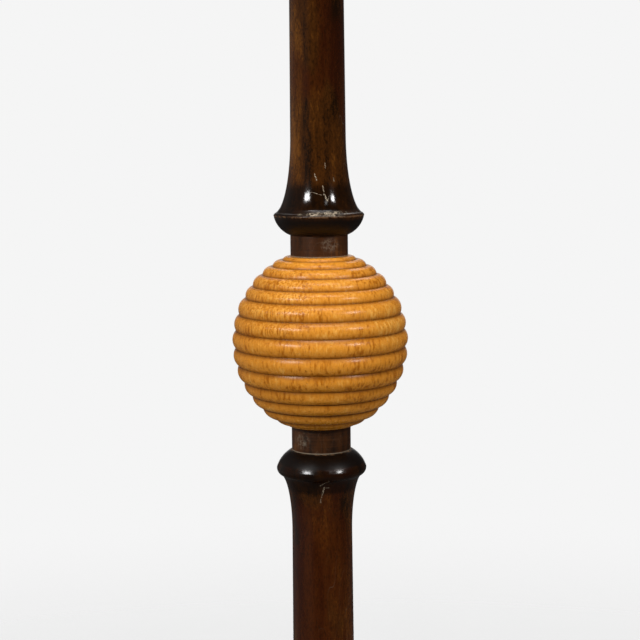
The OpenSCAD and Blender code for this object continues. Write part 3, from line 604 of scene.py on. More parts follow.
def dark_wood(name, seed, grain=GRAIN_UP, marks=(), patches=(), rounds=(), warm_and_sheen=()):
    """Old dark polish over straight-grained brown wood. Marks are (start, end, width, strength)
    scratches on the front, and patches are (centre, reach) of rubbed polish, which along the
    upper lip is also a painted highlight. Rounds are (height, reach, gloom, dullness) of rings
    made darker or duller: the darkening is painted shade next to the necks, and darker wood on
    the lips and flares. Warm and sheen entries are (centre, reach, strength) of warmer, lighter
    patches, some of them painted sheen."""
    c = bpy.context.scene.lamp_colours
    f = Finish(name)
    scale, angle = grain
    along = f.here(scale, angle, (seed, seed * 1.7, seed * 0.31))
    broad = f.noise(along, 62, 3, 0.55, 0.3)
    streaks = f.noise(along, 230, 4, 0.65, 0.3)
    cloud = f.noise(f.here((1, 1, 0.45), shift=(0, seed, seed)), 22, 3, 0.55)

    def grain_at(shorter, shift=(0, 0, 0)):
        """Coordinates along the grain, for marks that many times shorter than the streaks."""
        return f.here([s * shorter if s < 1 else 1 for s in scale], angle, shift)

    curl = f.noise(grain_at(3, (0, 0, seed)), 420, 3, 0.7, 0.6)
    speckle = f.noise(f.here((1, 1, 0.6)), 900, 2, 0.6)
    tone = broad * 0.28 + streaks * 0.20 + cloud * 0.26 + curl * 0.16 + speckle * 0.13
    for centre, reach, strength in warm_and_sheen:
        tone = tone + f.patch(centre, reach) * strength
    colour = f.ramp(tone, (0.455, c.dark), (0.515, c.brown), (0.555, [v * 1.3 for v in c.brown]),
                    (0.63, c.warm))
    red = f.noise(f.here((1, 1, 0.4), shift=(seed, 0, 3)), 34, 2)
    colour = f.mix(f.band(red, 0.50, 0.60) * 0.6, colour, c.russet)
    pores = f.band(f.noise(grain_at(2.5), 1000, 2, 0.6), 0.52, 0.66)
    colour = f.mix(pores * 0.5, colour, c.dark)

    at = f.node("SeparateXYZ", Vector=f.here())
    front, height = f.band(f.out(at, 1), 0.0, -0.004), f.out(at, 2)
    gloom, dull = 0.0, 0.0
    for middle, reach, dark, dry in rounds:
        ring = f.band((height - middle).size(), reach, reach * 0.55)
        gloom, dull = (ring * dark).most(gloom), (ring * dry).most(dull)
    # Rings made darker: painted shade next to the necks, darker wood on the lips and flares.
    if rounds:
        colour = f.mix(gloom, colour, [v * 0.35 for v in c.dark])

    corner = f.edge()
    broken = f.noise(f.here(), 420, 3, 0.7)
    # Lighter broken lines on edges that stand out: worn polish, and a painted highlight on the
    # lips' rims.
    rubbed = corner.most(0.0) * f.band(broken + cloud * 0.5, 0.60, 0.84)
    # Painted shade in the corners that go in.
    dark_in_hollows = (0 - corner).most(0.0)
    colour = f.mix(dark_in_hollows * 0.75, colour, [v * 0.25 for v in c.dark])
    colour = f.mix(rubbed * 0.5, colour, c.worn)
    lines = f.hairlines(f.here((1, 1, 0.25), (9, 6, 0), (seed, 0, 0)), 110, 0.005)
    scuffs = lines * f.band(cloud, 0.50, 0.66) * 0.15
    worn = f.band(f.noise(f.here((1, 0, 1)), 1400, 3, 0.7), 0.45, 0.57) * front
    for start, end, width, strength in marks:
        scuffs = scuffs.most(f.stroke(start, end, width) * worn * strength)
    scuffs = scuffs.most(f.rub(patches, (210, 260), 0.02, broken, 0.48, 0.60))
    colour = f.mix(scuffs, colour, c.scuff)
    shape = f.noise(f.here((1, 1, 0.5)), 70, 2) * 0.30 + curl * 0.04 - pores * 0.04 - scuffs * 0.12
    return f.surface(
        Base_Color=colour, Roughness=scuffs * 0.3 + rubbed * 0.25 + dull + broken * 0.05 + 0.085,
        Normal=f.relief(shape, 0.0005, 0.25), Specular_IOR_Level=0.3)


def neck_wood(name, seed, foot, patches=()):
    """The same wood as turned, with little polish and the marks of the tool. A pale line at
    height foot, where it sits on the piece below, is worn finish and a painted highlight."""
    c = bpy.context.scene.lamp_colours
    f = Finish(name)
    along = f.here((1, 1, 0.12), shift=(seed, seed * 0.6, 0))
    broad = f.noise(along, 60, 4, 0.6, 0.4)
    fine = f.noise(along, 420, 3)
    cloud = f.noise(f.here(shift=(0, seed, seed)), 40, 3, 0.6)
    tool = f.noise(f.here((0.02, 0.02, 1), shift=(0, 0, seed)), 1500, 2)
    tone = broad * 0.4 + fine * 0.2 + cloud * 0.3 + tool * 0.15
    colour = f.ramp(tone, (0.42, c.dark), (0.50, c.brown), (0.58, [v * 1.3 for v in c.brown]),
                    (0.68, c.warm))
    broken = f.noise(f.here(), 500, 3, 0.7)
    scuffs = f.hairlines(f.here((1, 1, 0.5), (24, 12, 0), (seed, 0, 0)), 150, 0.008) * 0.2
    scuffs = scuffs.most(f.rub(patches, (260, 300), 0.025, broken, 0.42, 0.68))
    colour = f.mix(scuffs * 0.28, colour, c.scuff)
    height = f.out(f.node("SeparateXYZ", Vector=f.here()), 2)
    # A pale line at the foot: worn finish and a painted highlight along the joint.
    seat = f.band(height - foot, 0.0010, 0.0005)
    colour = f.mix(seat * (broken * 0.5 + 0.22), colour, c.scuff)
    shape = tool * 0.5 + fine * 0.3 - scuffs * 0.3
    return f.surface(
        Base_Color=colour, Roughness=0.34 + scuffs * 0.25 + tool * 0.12,
        Normal=f.relief(shape, 0.0003, 0.5), Specular_IOR_Level=0.3)


def honey_wood(name, centre):
    """Pale waxed wood with short slanting flecks, old dark wax in its grooves and painted shade."""
    c = bpy.context.scene.lamp_colours
    f = Finish(name)
    back = [-v for v in centre]
    slant = (0, -34, 0)
    along = f.here((1, 1, 0.3), slant, back)
    broad = f.noise(along, 90, 4, 0.6, 0.4)
    cloud = f.noise(f.here(shift=back), 30, 3, 0.6)
    colour = f.ramp(broad * 0.2 + cloud * 0.35 + f.noise(along, 520, 3) * 0.45,
                    (0.40, c.amber), (0.48, c.honey), (0.54, c.honey), (0.64, c.straw))
    flecks = f.noise(f.here((1, 1, 0.22), slant, back), 850, 2, 0.6)
    dense = f.patch((-0.034, -0.045, centre[2] + 0.034), (0.046, 0.050, 0.036))
    share = f.band(cloud, 0.44, 0.60) * 0.45 + dense * 0.8 + 0.15
    dark_flecks = f.band(flecks, 0.50, 0.60) * share
    light_flecks = f.band(flecks, 0.50, 0.38) * (dense * 0.6 + 0.35)
    specks = f.band(f.noise(f.here(), 1300, 1), 0.66, 0.73) * f.band(broad, 0.42, 0.6)
    hollow = (0 - f.edge()).most(0.0)
    broken = f.noise(f.here(), 260, 3, 0.7)
    stains = f.band(f.noise(f.here(shift=(0.3, 0.1, 0.2)), 75, 5, 0.75), 0.62, 0.76)
    colour = f.mix(dark_flecks * 0.50, colour, c.amber)
    colour = f.mix(light_flecks * 0.45, colour, c.straw)
    colour = f.mix(stains * 0.16, colour, c.grime)
    colour = f.mix(specks * 0.6, colour, c.grime)
    # Painted shade across each groove, fading out towards the crests.
    colour = f.mix((hollow ** 2.0) * 0.62, colour, c.amber)
    dark_in_hollows = (hollow ** 4.5) * (0.45 + broken * 0.7)
    colour = f.mix(dark_in_hollows, colour, c.grime)
    shape = light_flecks * 0.2 - dark_flecks * 0.3 - specks * 0.5 + broken * 0.5
    return f.surface(
        Base_Color=colour, Roughness=0.19 + broken * 0.13 + hollow * 0.06 + stains * 0.08,
        Normal=f.relief(shape, 0.00035, 0.5), Specular_IOR_Level=0.22)


def metal(name, clean, dull, roughness):
    """A metal that has darkened in places and is finely scratched."""
    f = Finish(name)
    cloud = f.noise(f.here(), 90, 4, 0.65)
    spots = f.noise(f.here(shift=(0.2, 0.1, 0)), 420, 3, 0.7)
    dark = f.band(cloud * 0.7 + spots * 0.3, 0.46, 0.66) * 0.55
    lines = f.noise(f.here(), 1600, 1)
    hollow = (0 - f.edge()).most(0.0)
    return f.surface(Base_Color=f.mix(dark + hollow * 0.5, clean, dull), Metallic=1.0,
                     Roughness=dark * 0.3 + lines * 0.08 + roughness,
                     Normal=f.relief(lines * 0.4 + spots * 0.6, 0.00006, 0.5))


def plain(name, light, dark, roughness, scale, depth, **sockets):
    """A moulded, cast or pressed stuff with a fine grain of its own."""
    f = Finish(name)
    grain = f.noise(f.here(), scale, 4, 0.65)
    cloud = f.noise(f.here(), scale / 9, 3)
    colour = f.mix(f.band(grain * 0.6 + cloud * 0.4, 0.36, 0.64), dark, light)
    return f.surface(Base_Color=colour, Roughness=grain * 0.12 + (roughness - 0.06),
                     Normal=f.relief(grain, depth, 0.6), **sockets)


def woven(name, thread):
    """Linen on the piece's own map, which is its flat pattern in metres."""
    c = bpy.context.scene.lamp_colours
    f = Finish(name)
    flat = f.out(f.node("UVMap", {"uv_map": "flat"}))
    across, down = (f.out(f.node("SeparateXYZ", Vector=flat), i) for i in (0, 1))
    warp = (across * (math.pi / thread)).sine()
    weft = (down * (math.pi / thread)).sine()
    over = f.band(warp * weft, -0.4, 0.4)
    height = warp.size() * over + weft.size() * (1 - over)

    def threads(scale):
        at = f.out(f.node("Mapping", Vector=flat, Scale=scale))
        return f.noise(at, 1, 3, 0.6)

    up, side = threads((1 / thread, 14, 1)), threads((14, 1 / thread, 1))
    slubs = f.band(up, 0.60, 0.76).most(f.band(side, 0.60, 0.76))
    tone = over * up + (1 - over) * side
    colour = f.ramp(tone, (0.30, c.slub), (0.52, c.linen), (0.75, [v * 1.06 for v in c.linen]))
    colour = f.mix(slubs * 0.45, colour, c.slub)
    # Painted shade between the threads.
    colour = f.mix((1 - height) * 0.22, colour, [v * 0.45 for v in c.slub])
    return f.surface(Base_Color=colour, Roughness=0.86 - slubs * 0.1,
                     Normal=f.relief(height * 0.6 + slubs * 0.7, 0.00035, 0.6),
                     Sheen_Weight=0.25, Sheen_Roughness=0.5, Specular_IOR_Level=0.25)


def stock(name):
    """One of the finishes that several pieces share, made once. A metal has a clean colour, a
    dull one and a roughness. Any other stuff has a light colour, a dark one, a roughness, and
    the scale and depth of its grain."""
    made = bpy.data.materials.get(name)
    if made:
        return made
    c = bpy.context.scene.lamp_colours
    metals = {
        "aged_brass": (c.brass, c.tarnish, 0.24),
        "plated_steel": (c.steel, [v * 0.5 for v in c.steel], 0.3),
        "bulb_cap_metal": ((0.72, 0.72, 0.70), (0.45, 0.45, 0.44), 0.22),
    }
    stuffs = {
        "cast_iron": ((0.055, 0.055, 0.058), (0.022, 0.022, 0.024), 0.62, 500, 0.0004),
        "dark_bakelite": ((0.030, 0.019, 0.014), (0.012, 0.008, 0.006), 0.24, 160, 0.00003),
        "insulating_card": ((0.55, 0.42, 0.25), (0.38, 0.28, 0.16), 0.8, 700, 0.0002),
        "pressed_board": ((0.20, 0.105, 0.05), (0.095, 0.048, 0.024), 0.75, 420, 0.0002),
        "cream_plastic": ((0.66, 0.60, 0.46), (0.56, 0.50, 0.38), 0.4, 240, 0.00004),
        "lead_sleeve": ((0.42, 0.30, 0.11), (0.28, 0.19, 0.07), 0.55, 900, 0.0002),
        "green_felt": (c.felt, [v * 0.5 for v in c.felt], 0.95, 1300, 0.0006),
        "frosted_glass": ((0.90, 0.89, 0.85), (0.86, 0.85, 0.80), 0.28, 700, 0.00002),
        "shade_liner": ((0.86, 0.84, 0.78), (0.80, 0.78, 0.71), 0.55, 350, 0.00005),
    }
    extras = {
        "cast_iron": {"Metallic": 0.4},
        "green_felt": {"Sheen_Weight": 0.4},
        "frosted_glass": {"Coat_Weight": 0.5, "Coat_Roughness": 0.08},
    }
    if name in metals:
        return metal(name, *metals[name])
    return plain(name, *stuffs[name], **extras.get(name, {}))


# ---------------------------------------------------------------- pieces


def toward(start, end):
    """The turn of a camera or lamp at start that points it to end."""
    return (Vector(end) - Vector(start)).to_track_quat("-Z", "Y")


class LAMP_OT_studio(bpy.types.Operator):
    """Pale floor and backdrop, soft lights and the camera"""
    bl_idname = "lamp.studio"
    bl_label = "Studio"
    bl_options = {"REGISTER", "UNDO"}

    def execute(self, context):
        setup, scene = context.scene.lamp_studio, context.scene
        scene.view_settings.view_transform = "Standard"
        lens = bpy.data.cameras.new("camera")
        lens.lens, lens.sensor_width = setup.lens, 36.0
        lens.clip_start, lens.clip_end = 0.01, 60.0
        camera = bpy.data.objects.new("camera", lens)
        camera.location = (0, -setup.stand_off, setup.eye)
        camera.rotation_mode = "QUATERNION"
        look = toward(camera.location, (0, 0, setup.aim))
        camera.rotation_quaternion = look @ Quaternion((0, 0, 1), -setup.roll)
        scene.collection.objects.link(camera)
        scene.camera = camera

        for name, place_at, aim_at, wide, tall, watts in (
            ("left_window", (-2.88, -3.32, 3.16), 0.78, 1.36, 0.70, 150.0),
            ("right_window", (3.40, -2.80, 3.24), 0.78, 0.80, 0.60, 96.0),
            ("small_window", (1.96, -3.94, 4.16), 0.78, 0.32, 0.72, 6.4),
            ("overhead", (0.32, -2.66, 8.20), 0.85, 6.00, 0.54, 310.0),
            ("back_fill", (0.24, 3.48, 4.28), 0.78, 3.20, 2.40, 72.0),
        ):
            lamp = bpy.data.lights.new(name, "AREA")
            lamp.shape, lamp.size, lamp.size_y, lamp.energy = "RECTANGLE", wide, tall, watts
            light = bpy.data.objects.new(name, lamp)
            light.location = place_at
            light.rotation_euler = toward(place_at, (0, 0, aim_at)).to_euler()
            light.visible_camera = False
            scene.collection.objects.link(light)

        world = bpy.data.worlds.new("studio_room")
        scene.world = world
        f = Finish("", world)
        # Polished pieces mirror the backdrop behind the lamp and a little of it on the left. The
        # rest of the room stays dim for them, or it lays a haze over the dark polish.
        seen, mirrored = f.rays()
        way = f.node("SeparateXYZ", Vector=f.out(f.node("TexCoord"), "Generated"))
        room = (f.band(f.out(way, 1), 0.94, 0.99) * (setup.backdrop - setup.room)
                + f.band(f.out(way, 0), -0.35, -0.85) * 0.13 + setup.room)
        strength = seen * setup.backdrop + mirrored * room + (1 - seen.most(mirrored)) * setup.fill
        shader = f.node("Background", Color=(1, 1, 1), Strength=strength)
        f.node("OutputWorld", Surface=f.out(shader))

        bm = bmesh.new()
        bmesh.ops.create_circle(bm, cap_ends=True, segments=96, radius=setup.floor + 0.2)
        floor = model("studio_floor", bm)
        f = Finish("pale_floor")
        away = f.vector("LENGTH", f.here(), (0, 0, 0), "Value")
        grain = f.noise(f.here(), 9, 3)
        seen, mirrored = f.rays()
        dim = f.mix(mirrored, (0.24, 0.235, 0.23), (0.06, 0.058, 0.055))
        pale = f.mix(grain, (0.70, 0.70, 0.70), (0.73, 0.73, 0.73))
        floor.data.materials.append(f.surface(
            Base_Color=f.mix(seen, dim, pale), Roughness=0.9,
            Alpha=f.band(away, setup.floor, 0.75), Specular_IOR_Level=0.1))
        return {"FINISHED"}


class LAMP_OT_foot(bpy.types.Operator):
    """Plinth with its rolled edge, and the pedestal on it"""
    bl_idname = "lamp.foot"
    bl_label = "Plinth and pedestal"
    bl_options = {"REGISTER", "UNDO"}

    def execute(self, context):
        sizes = context.scene.lamp_sizes
        low, high = foot_of("plinth"), top_of("plinth")
        tall, rim, edge = high - low, radius_of("plinth"), sizes.plinth_edge
        pedestal = radius_of("pedestal")
        foot = rim - bulge(edge, 98)
        step_in, spigot, spigot_l, play = foot - 0.006, 0.030, 0.006, 0.0001
        outline = (arc((foot, 0), (foot, edge), 98, 18) + [(step_in, edge)]
                   + arc((step_in, edge + 0.0025), (pedestal + 0.006, tall), -44, 22))
        recess, cover = radius_of("base_weight") + 0.0005, radius_of("underside_cover") + 0.00025
        well, well_r = foot_of("bottom_washer") - low + 0.002, 0.042
        seat, roof, ledge = tall - spigot_l - play, 0.020, 0.003
        loop = outline + [
            (spigot + play, tall), (spigot + play, seat), (sizes.tube_bore, seat),
            (sizes.tube_bore, well), (well_r, well), (well_r, roof), (recess, roof),
            (recess, ledge), (cover, ledge), (cover, 0)]
        plinth = model("wood_plinth", turn(loop, low, steps=192))
        for radius, start, end in ((0.0056, recess - 0.002, 0.157), (0.0081, 0.155, 0.168)):
            hole = rod(radius, start, end, 40)
            carve(plinth, place(hole, z=middle_of("cable_bush"), turn_by=-RIGHT_ANGLE))
        fit(plinth, "column", dark_wood("plinth_polish", 3.1, GRAIN_ACROSS), "dark_wood", "plinth")

        tall, bead = top_of("pedestal") - high, 0.014
        bead_foot = pedestal - bulge(bead, 98)
        step_in, neck, collar = bead_foot - 0.005, sizes.foot_neck + 0.004, tall - 0.006
        cushion, cushion_z = pedestal * 0.48, tall * 0.68
        outline = (arc((bead_foot, 0), (bead_foot, bead), 98, 16) + [(step_in, bead)]
                   + arc((step_in, bead + 0.002), (cushion, cushion_z), 50, 22)
                   + arc((cushion - 0.003, cushion_z), (neck, collar), -60, 16)
                   + arc((neck, collar), (neck, tall), 120, 10)[1:])
        floor = tall - MORTISE_DEPTH
        loop = [(sizes.tube_bore, -spigot_l), (spigot, -spigot_l), (spigot, 0)] + outline + [
            (sizes.mortise, tall), (sizes.mortise, floor), (sizes.tube_bore, floor)]
        fit(model("wood_pedestal", turn(loop, high)), "column",
            dark_wood("pedestal_polish", 7.7, GRAIN_ACROSS), "dark_wood", "pedestal")
        return {"FINISHED"}


class LAMP_OT_underside(bpy.types.Operator):
    """Felt, the screws of the cover board, and the cord's bush"""
    bl_idname = "lamp.underside"
    bl_label = "Underside and cord inlet"
    bl_options = {"REGISTER", "UNDO"}

    def execute(self, context):
        outer, thick = radius_of("felt_ring"), top_of("felt_ring")
        inner = radius_of("underside_cover") + 0.00175
        loop = [(outer, 0), (outer, thick), (inner, thick), (inner, 0)]
        felt = turn(loop, steps=192, ease=0.0006)
        for i, vert in enumerate(felt.verts):  # a cut edge is never quite even
            stray = math.sin(i * 12.9898) * 43758.5453
            vert.co.xy *= 1 - 0.0006 * (stray - math.floor(stray))
        fit(model("felt_pad", felt), "column", stock("green_felt"), "felt", "felt_ring")

        heads = []
        low, high = BOX["cover_screws"]
        tall, shank, head_r, slot = high.z - low.z, 0.0016, 0.0036, 0.0004
        reach = math.hypot(high.x - head_r, high.y - head_r)
        outline = [(0, tall), (shank, tall), (shank, 0.002), (head_r, 0.002), (head_r, 0.0014)]
        outline += arc(outline[-1], (0, 0), -40, 6)[1:]
        for quarter in range(4):
            head = turn(outline, closed=False, steps=24, ease=0.0001)
            for x in (-slot - 0.00005, -slot, slot, slot + 0.00005):
                bmesh.ops.bisect_plane(head, geom=[*head.verts, *head.edges, *head.faces],
                                       plane_co=(x, 0, 0), plane_no=(1, 0, 0))
            for vert in head.verts:
                if abs(vert.co.x) < slot + 0.00002 and vert.co.z < 0.0013:
                    vert.co.z += 0.0008
            a = math.radians(45 + 90 * quarter)
            heads.append(place(head, reach * math.cos(a), reach * math.sin(a), low.z, a * 1.7, "Z"))
        brass("slotted_screws", join(*heads), "column", "cover_screws")

        low, high = BOX["cable_bush"]
        long, bore, barrel, lip = high.y - low.y, 0.00375, 0.0055, 0.0080
        loop = ([(bore, 0), (barrel, 0), (barrel, long - 0.003), (lip, long - 0.003)]
                + arc((lip, long - 0.0016), (0.0066, long), 80, 6)
                + arc((0.0052, long), (bore, long - 0.0016), 80, 6))
        bush = place(turn(loop, steps=48, ease=0.0002), y=low.y, z=middle_of("cable_bush"),
                     turn_by=-RIGHT_ANGLE)
        fit(model("cord_bush", bush), "column", stock("dark_bakelite"), "insulation", "cable_bush")
        return {"FINISHED"}


# Marks on the front of each shaft: scratches (start, end, width, strength), rubbed patches
# (centre, reach) that along the upper lip are also a painted highlight, warm places and painted
# sheen (centre, reach, strength), and rings at each end (distance, reach, gloom, dullness), whose
# gloom is painted shade next to the necks and darker wood on the lips and flares. All lengths are
# in metres.
SCRATCHES = {
    "lower_shaft": (
        ((-0.0012, 0.6596), (0.0020, 0.6619), 0.0006, 0.5),
        ((0.0020, 0.6619), (0.0055, 0.6631), 0.0005, 0.5),
        ((0.0016, 0.6582), (0.0004, 0.6535), 0.0010, 0.55),
        ((0.0004, 0.6535), (-0.0008, 0.6490), 0.0005, 0.5),
        ((-0.0008, 0.6490), (-0.0010, 0.6472), 0.0007, 0.5),
        ((0.0018, 0.6580), (0.0051, 0.6580), 0.0005, 0.4)),
    "upper_shaft": (
        ((0.0045, 0.8785), (0.0047, 0.8751), 0.0005, 0.7),
        ((-0.0026, 0.8713), (-0.0013, 0.8673), 0.0007, 0.9),
        ((0.0101, 0.8684), (0.0104, 0.8664), 0.0006, 0.7),
        ((0.0028, 0.8632), (0.0034, 0.8599), 0.0007, 0.9),
        ((0.0034, 0.8599), (0.0040, 0.8576), 0.0004, 0.6),
        ((-0.0051, 0.8594), (0.0023, 0.8573), 0.0004, 0.6),
        ((0.0037, 0.8578), (0.0059, 0.8533), 0.0009, 1.0),
        ((0.0059, 0.8533), (0.0069, 0.8565), 0.0004, 0.7)),
}
SCUFFS_AND_HIGHLIGHT = {
    "lower_shaft": (),
    "upper_shaft": (
        # Along the upper lip: pale scuffs and a painted highlight band.
        ((0.0080, -0.0270, 0.8450), (0.0150, 0.02, 0.0022)),
        ((-0.0040, -0.0290, 0.8446), (0.0130, 0.02, 0.0012))),
    "lower_neck": (((-0.0133, -0.0156, 0.6885), (0.007, 0.02, 0.0075)),),
    "upper_neck": (((0.0072, -0.0184, 0.8235), (0.0075, 0.02, 0.006)),),
}
WARM_AND_SHEEN = {
    "lower_shaft": (
        ((0.0, -0.0215, 0.634), (0.0120, 0.02, 0.030), 0.06),),
    "upper_shaft": (
        # The two on the left are painted sheen, a soft reflection down that side of the shaft.
        ((-0.0153, -0.0112, 0.930), (0.0085, 0.02, 0.080), 0.10),
        ((-0.0150, -0.0130, 0.878), (0.0080, 0.02, 0.026), 0.05),
        ((0.0106, -0.0160, 0.885), (0.0060, 0.02, 0.030), 0.04),
        ((0.0140, -0.0120, 0.950), (0.0090, 0.02, 0.060), -0.04)),
}
RINGS = {
    "lower_shaft": (
        (0.0010, 0.0110, 0.97, 0.25), (0.0150, 0.0080, 0.72, 0.09), (0.0215, 0.0070, 0.70, 0.0)),
    "upper_shaft": (
        (0.0020, 0.0130, 0.98, 0.35), (0.0235, 0.0140, 0.75, 0.0), (0.0155, 0.0030, 0.2, 0.22)),
}


class LAMP_OT_shafts(bpy.types.Operator):
    """The two long shafts with a bell and a rolled lip at each end"""
    bl_idname = "lamp.shafts"
    bl_label = "Shafts"
    bl_options = {"REGISTER", "UNDO"}

    def execute(self, context):
        s = context.scene.lamp_sizes
        lower = {"lip": s.lower_lip, "under": 0.0122, "sweep": 43, "edge_in": 0.0020,
                 "edge": 0.0045, "roll": 58, "width": 0.0086, "length": s.lower_flare}
        upper = {"lip": s.upper_lip, "under": 0.0135, "sweep": 56, "edge_in": 0.0018,
                 "edge": 0.0018, "roll": 50, "width": 0.0123, "length": s.upper_flare}
        for node, form, foot, top, seed in (
            ("lower_shaft", lower, (s.foot_neck, s.lower_shaft_foot),
             (s.lower_neck, s.lower_shaft_top), 1.0),
            ("upper_shaft", upper, (s.upper_neck, s.upper_shaft_foot),
             (s.top_neck, s.upper_shaft_top), 2.0),
        ):
            low, high = foot_of(node), top_of(node)
            outline = bell(*foot, **form) + upended(bell(*top, **form), high - low)
            rounds = [(end, *ring) for away, *ring in RINGS[node]
                      for end in (low + away, high - away)]
            finish = dark_wood(node + "_polish", seed, GRAIN_UP, SCRATCHES[node], SCUFFS_AND_HIGHLIGHT[node],
                               rounds, WARM_AND_SHEEN[node])
            shaft = turn(bored(outline, MORTISE_DEPTH, MORTISE_DEPTH), low)
            fit(model("turned_" + node, shaft), "column", finish, "dark_wood", node)
        return {"FINISHED"}


class LAMP_OT_necks(bpy.types.Operator):
    """The short collars between the turned pieces"""
    bl_idname = "lamp.necks"
    bl_label = "Necks"
    bl_options = {"REGISTER", "UNDO"}

    def execute(self, context):
        s = context.scene.lamp_sizes
        for node, radius, under, over, seed in (
            ("foot_neck", s.foot_neck, "pedestal", "lower_shaft", 1.3),
            ("lower_neck", s.lower_neck, "lower_shaft", "ribbed_ball", 2.2),
            ("upper_neck", s.upper_neck, "ribbed_ball", "upper_shaft", 3.4),
            ("top_neck", s.top_neck, "upper_shaft", "candle_pan", 4.6),
        ):
            low, high, tenon = top_of(under), foot_of(over), s.mortise - 0.0001
            tall, foot, top = high - low, foot_of(node) - low, top_of(node) - low
            loop = [(tenon, 0), (radius, 0), (radius, tall), (tenon, tall), (tenon, top),
                    (s.tube_bore, top), (s.tube_bore, foot), (tenon, foot)]
            finish = neck_wood(node + "_wood", seed, low, SCUFFS_AND_HIGHLIGHT.get(node, ()))
            fit(model("turned_" + node, turn(loop, low, ease=0.0003)), "column", finish,
                "dark_wood", node)
        return {"FINISHED"}


class LAMP_OT_ball(bpy.types.Operator):
    """The ribbed ball, with beads of uneven width as they were turned"""
    bl_idname = "lamp.ball"
    bl_label = "Ribbed ball"
    bl_options = {"REGISTER", "UNDO"}

    def execute(self, context):
        s = context.scene.lamp_sizes
        # How many degrees of the round each bead takes, from the top down.
        beads = (5.8, 7.9, 8.6, 9.6, 8.8, 11.3, 10.4, 11.1, 11.2, 11.2, 9.9, 10.3, 11.1, 7.4, 4.6)
        low, high = foot_of("ribbed_ball"), top_of("ribbed_ball")
        widest = math.radians(max(beads))
        across = (s.ball - s.bead_depth) / math.cos(widest / 2)
        top, foot = (math.acos((neck + 0.0002) / across) for neck in (s.upper_neck, s.lower_neck))
        upright = (high - low) / (math.sin(top) + math.sin(foot))
        middle = low + upright * math.sin(foot)
        turns = [top - (top + foot) * sum(beads[:i]) / sum(beads) for i in range(len(beads) + 1)]
        grooves = [Vector((across * math.cos(a), upright * math.sin(a))) for a in turns]
        share = s.bead_depth / (2 * across * math.sin(widest / 2))
        sweep = 4 * math.degrees(math.atan(2 * share))
        outline = []
        for upper, lower in reversed(list(zip(grooves, grooves[1:]))):
            outline += arc(lower, upper, sweep, 12)[1 if outline else 0:]
        outline = [(r, min(max(z, low - middle), high - middle)) for r, z in outline]
        loop = bored(outline, MORTISE_DEPTH, MORTISE_DEPTH)
        ball = turn(loop, middle, steps=192, ease=0.00028)
        self.sink(ball, across, upright, middle, turns)
        fit(model("beaded_ball", ball), "column",
            honey_wood("honey_wax", (0, 0, middle)), "honey_wood", "ribbed_ball")
        return {"FINISHED"}

    def sink(self, ball, across, upright, middle, turns):
        """Sets the edge of each point on the beads: 0 on a crest, falling to -1 in a groove."""
        layer = ball.verts.layers.float["edge"]
        for vert in ball.verts:
            out, rise = math.hypot(vert.co.x, vert.co.y), vert.co.z - middle
            if math.hypot(out / across, rise / upright) < 0.99:
                continue
            a = math.atan2(rise / upright, out / across)
            for start, end in zip(turns, turns[1:]):
                if end <= a <= start:
                    across_bead = 2 * (a - end) / (start - end) - 1
                    vert[layer] = -(across_bead if across_bead > 0 else across_bead ** 2)


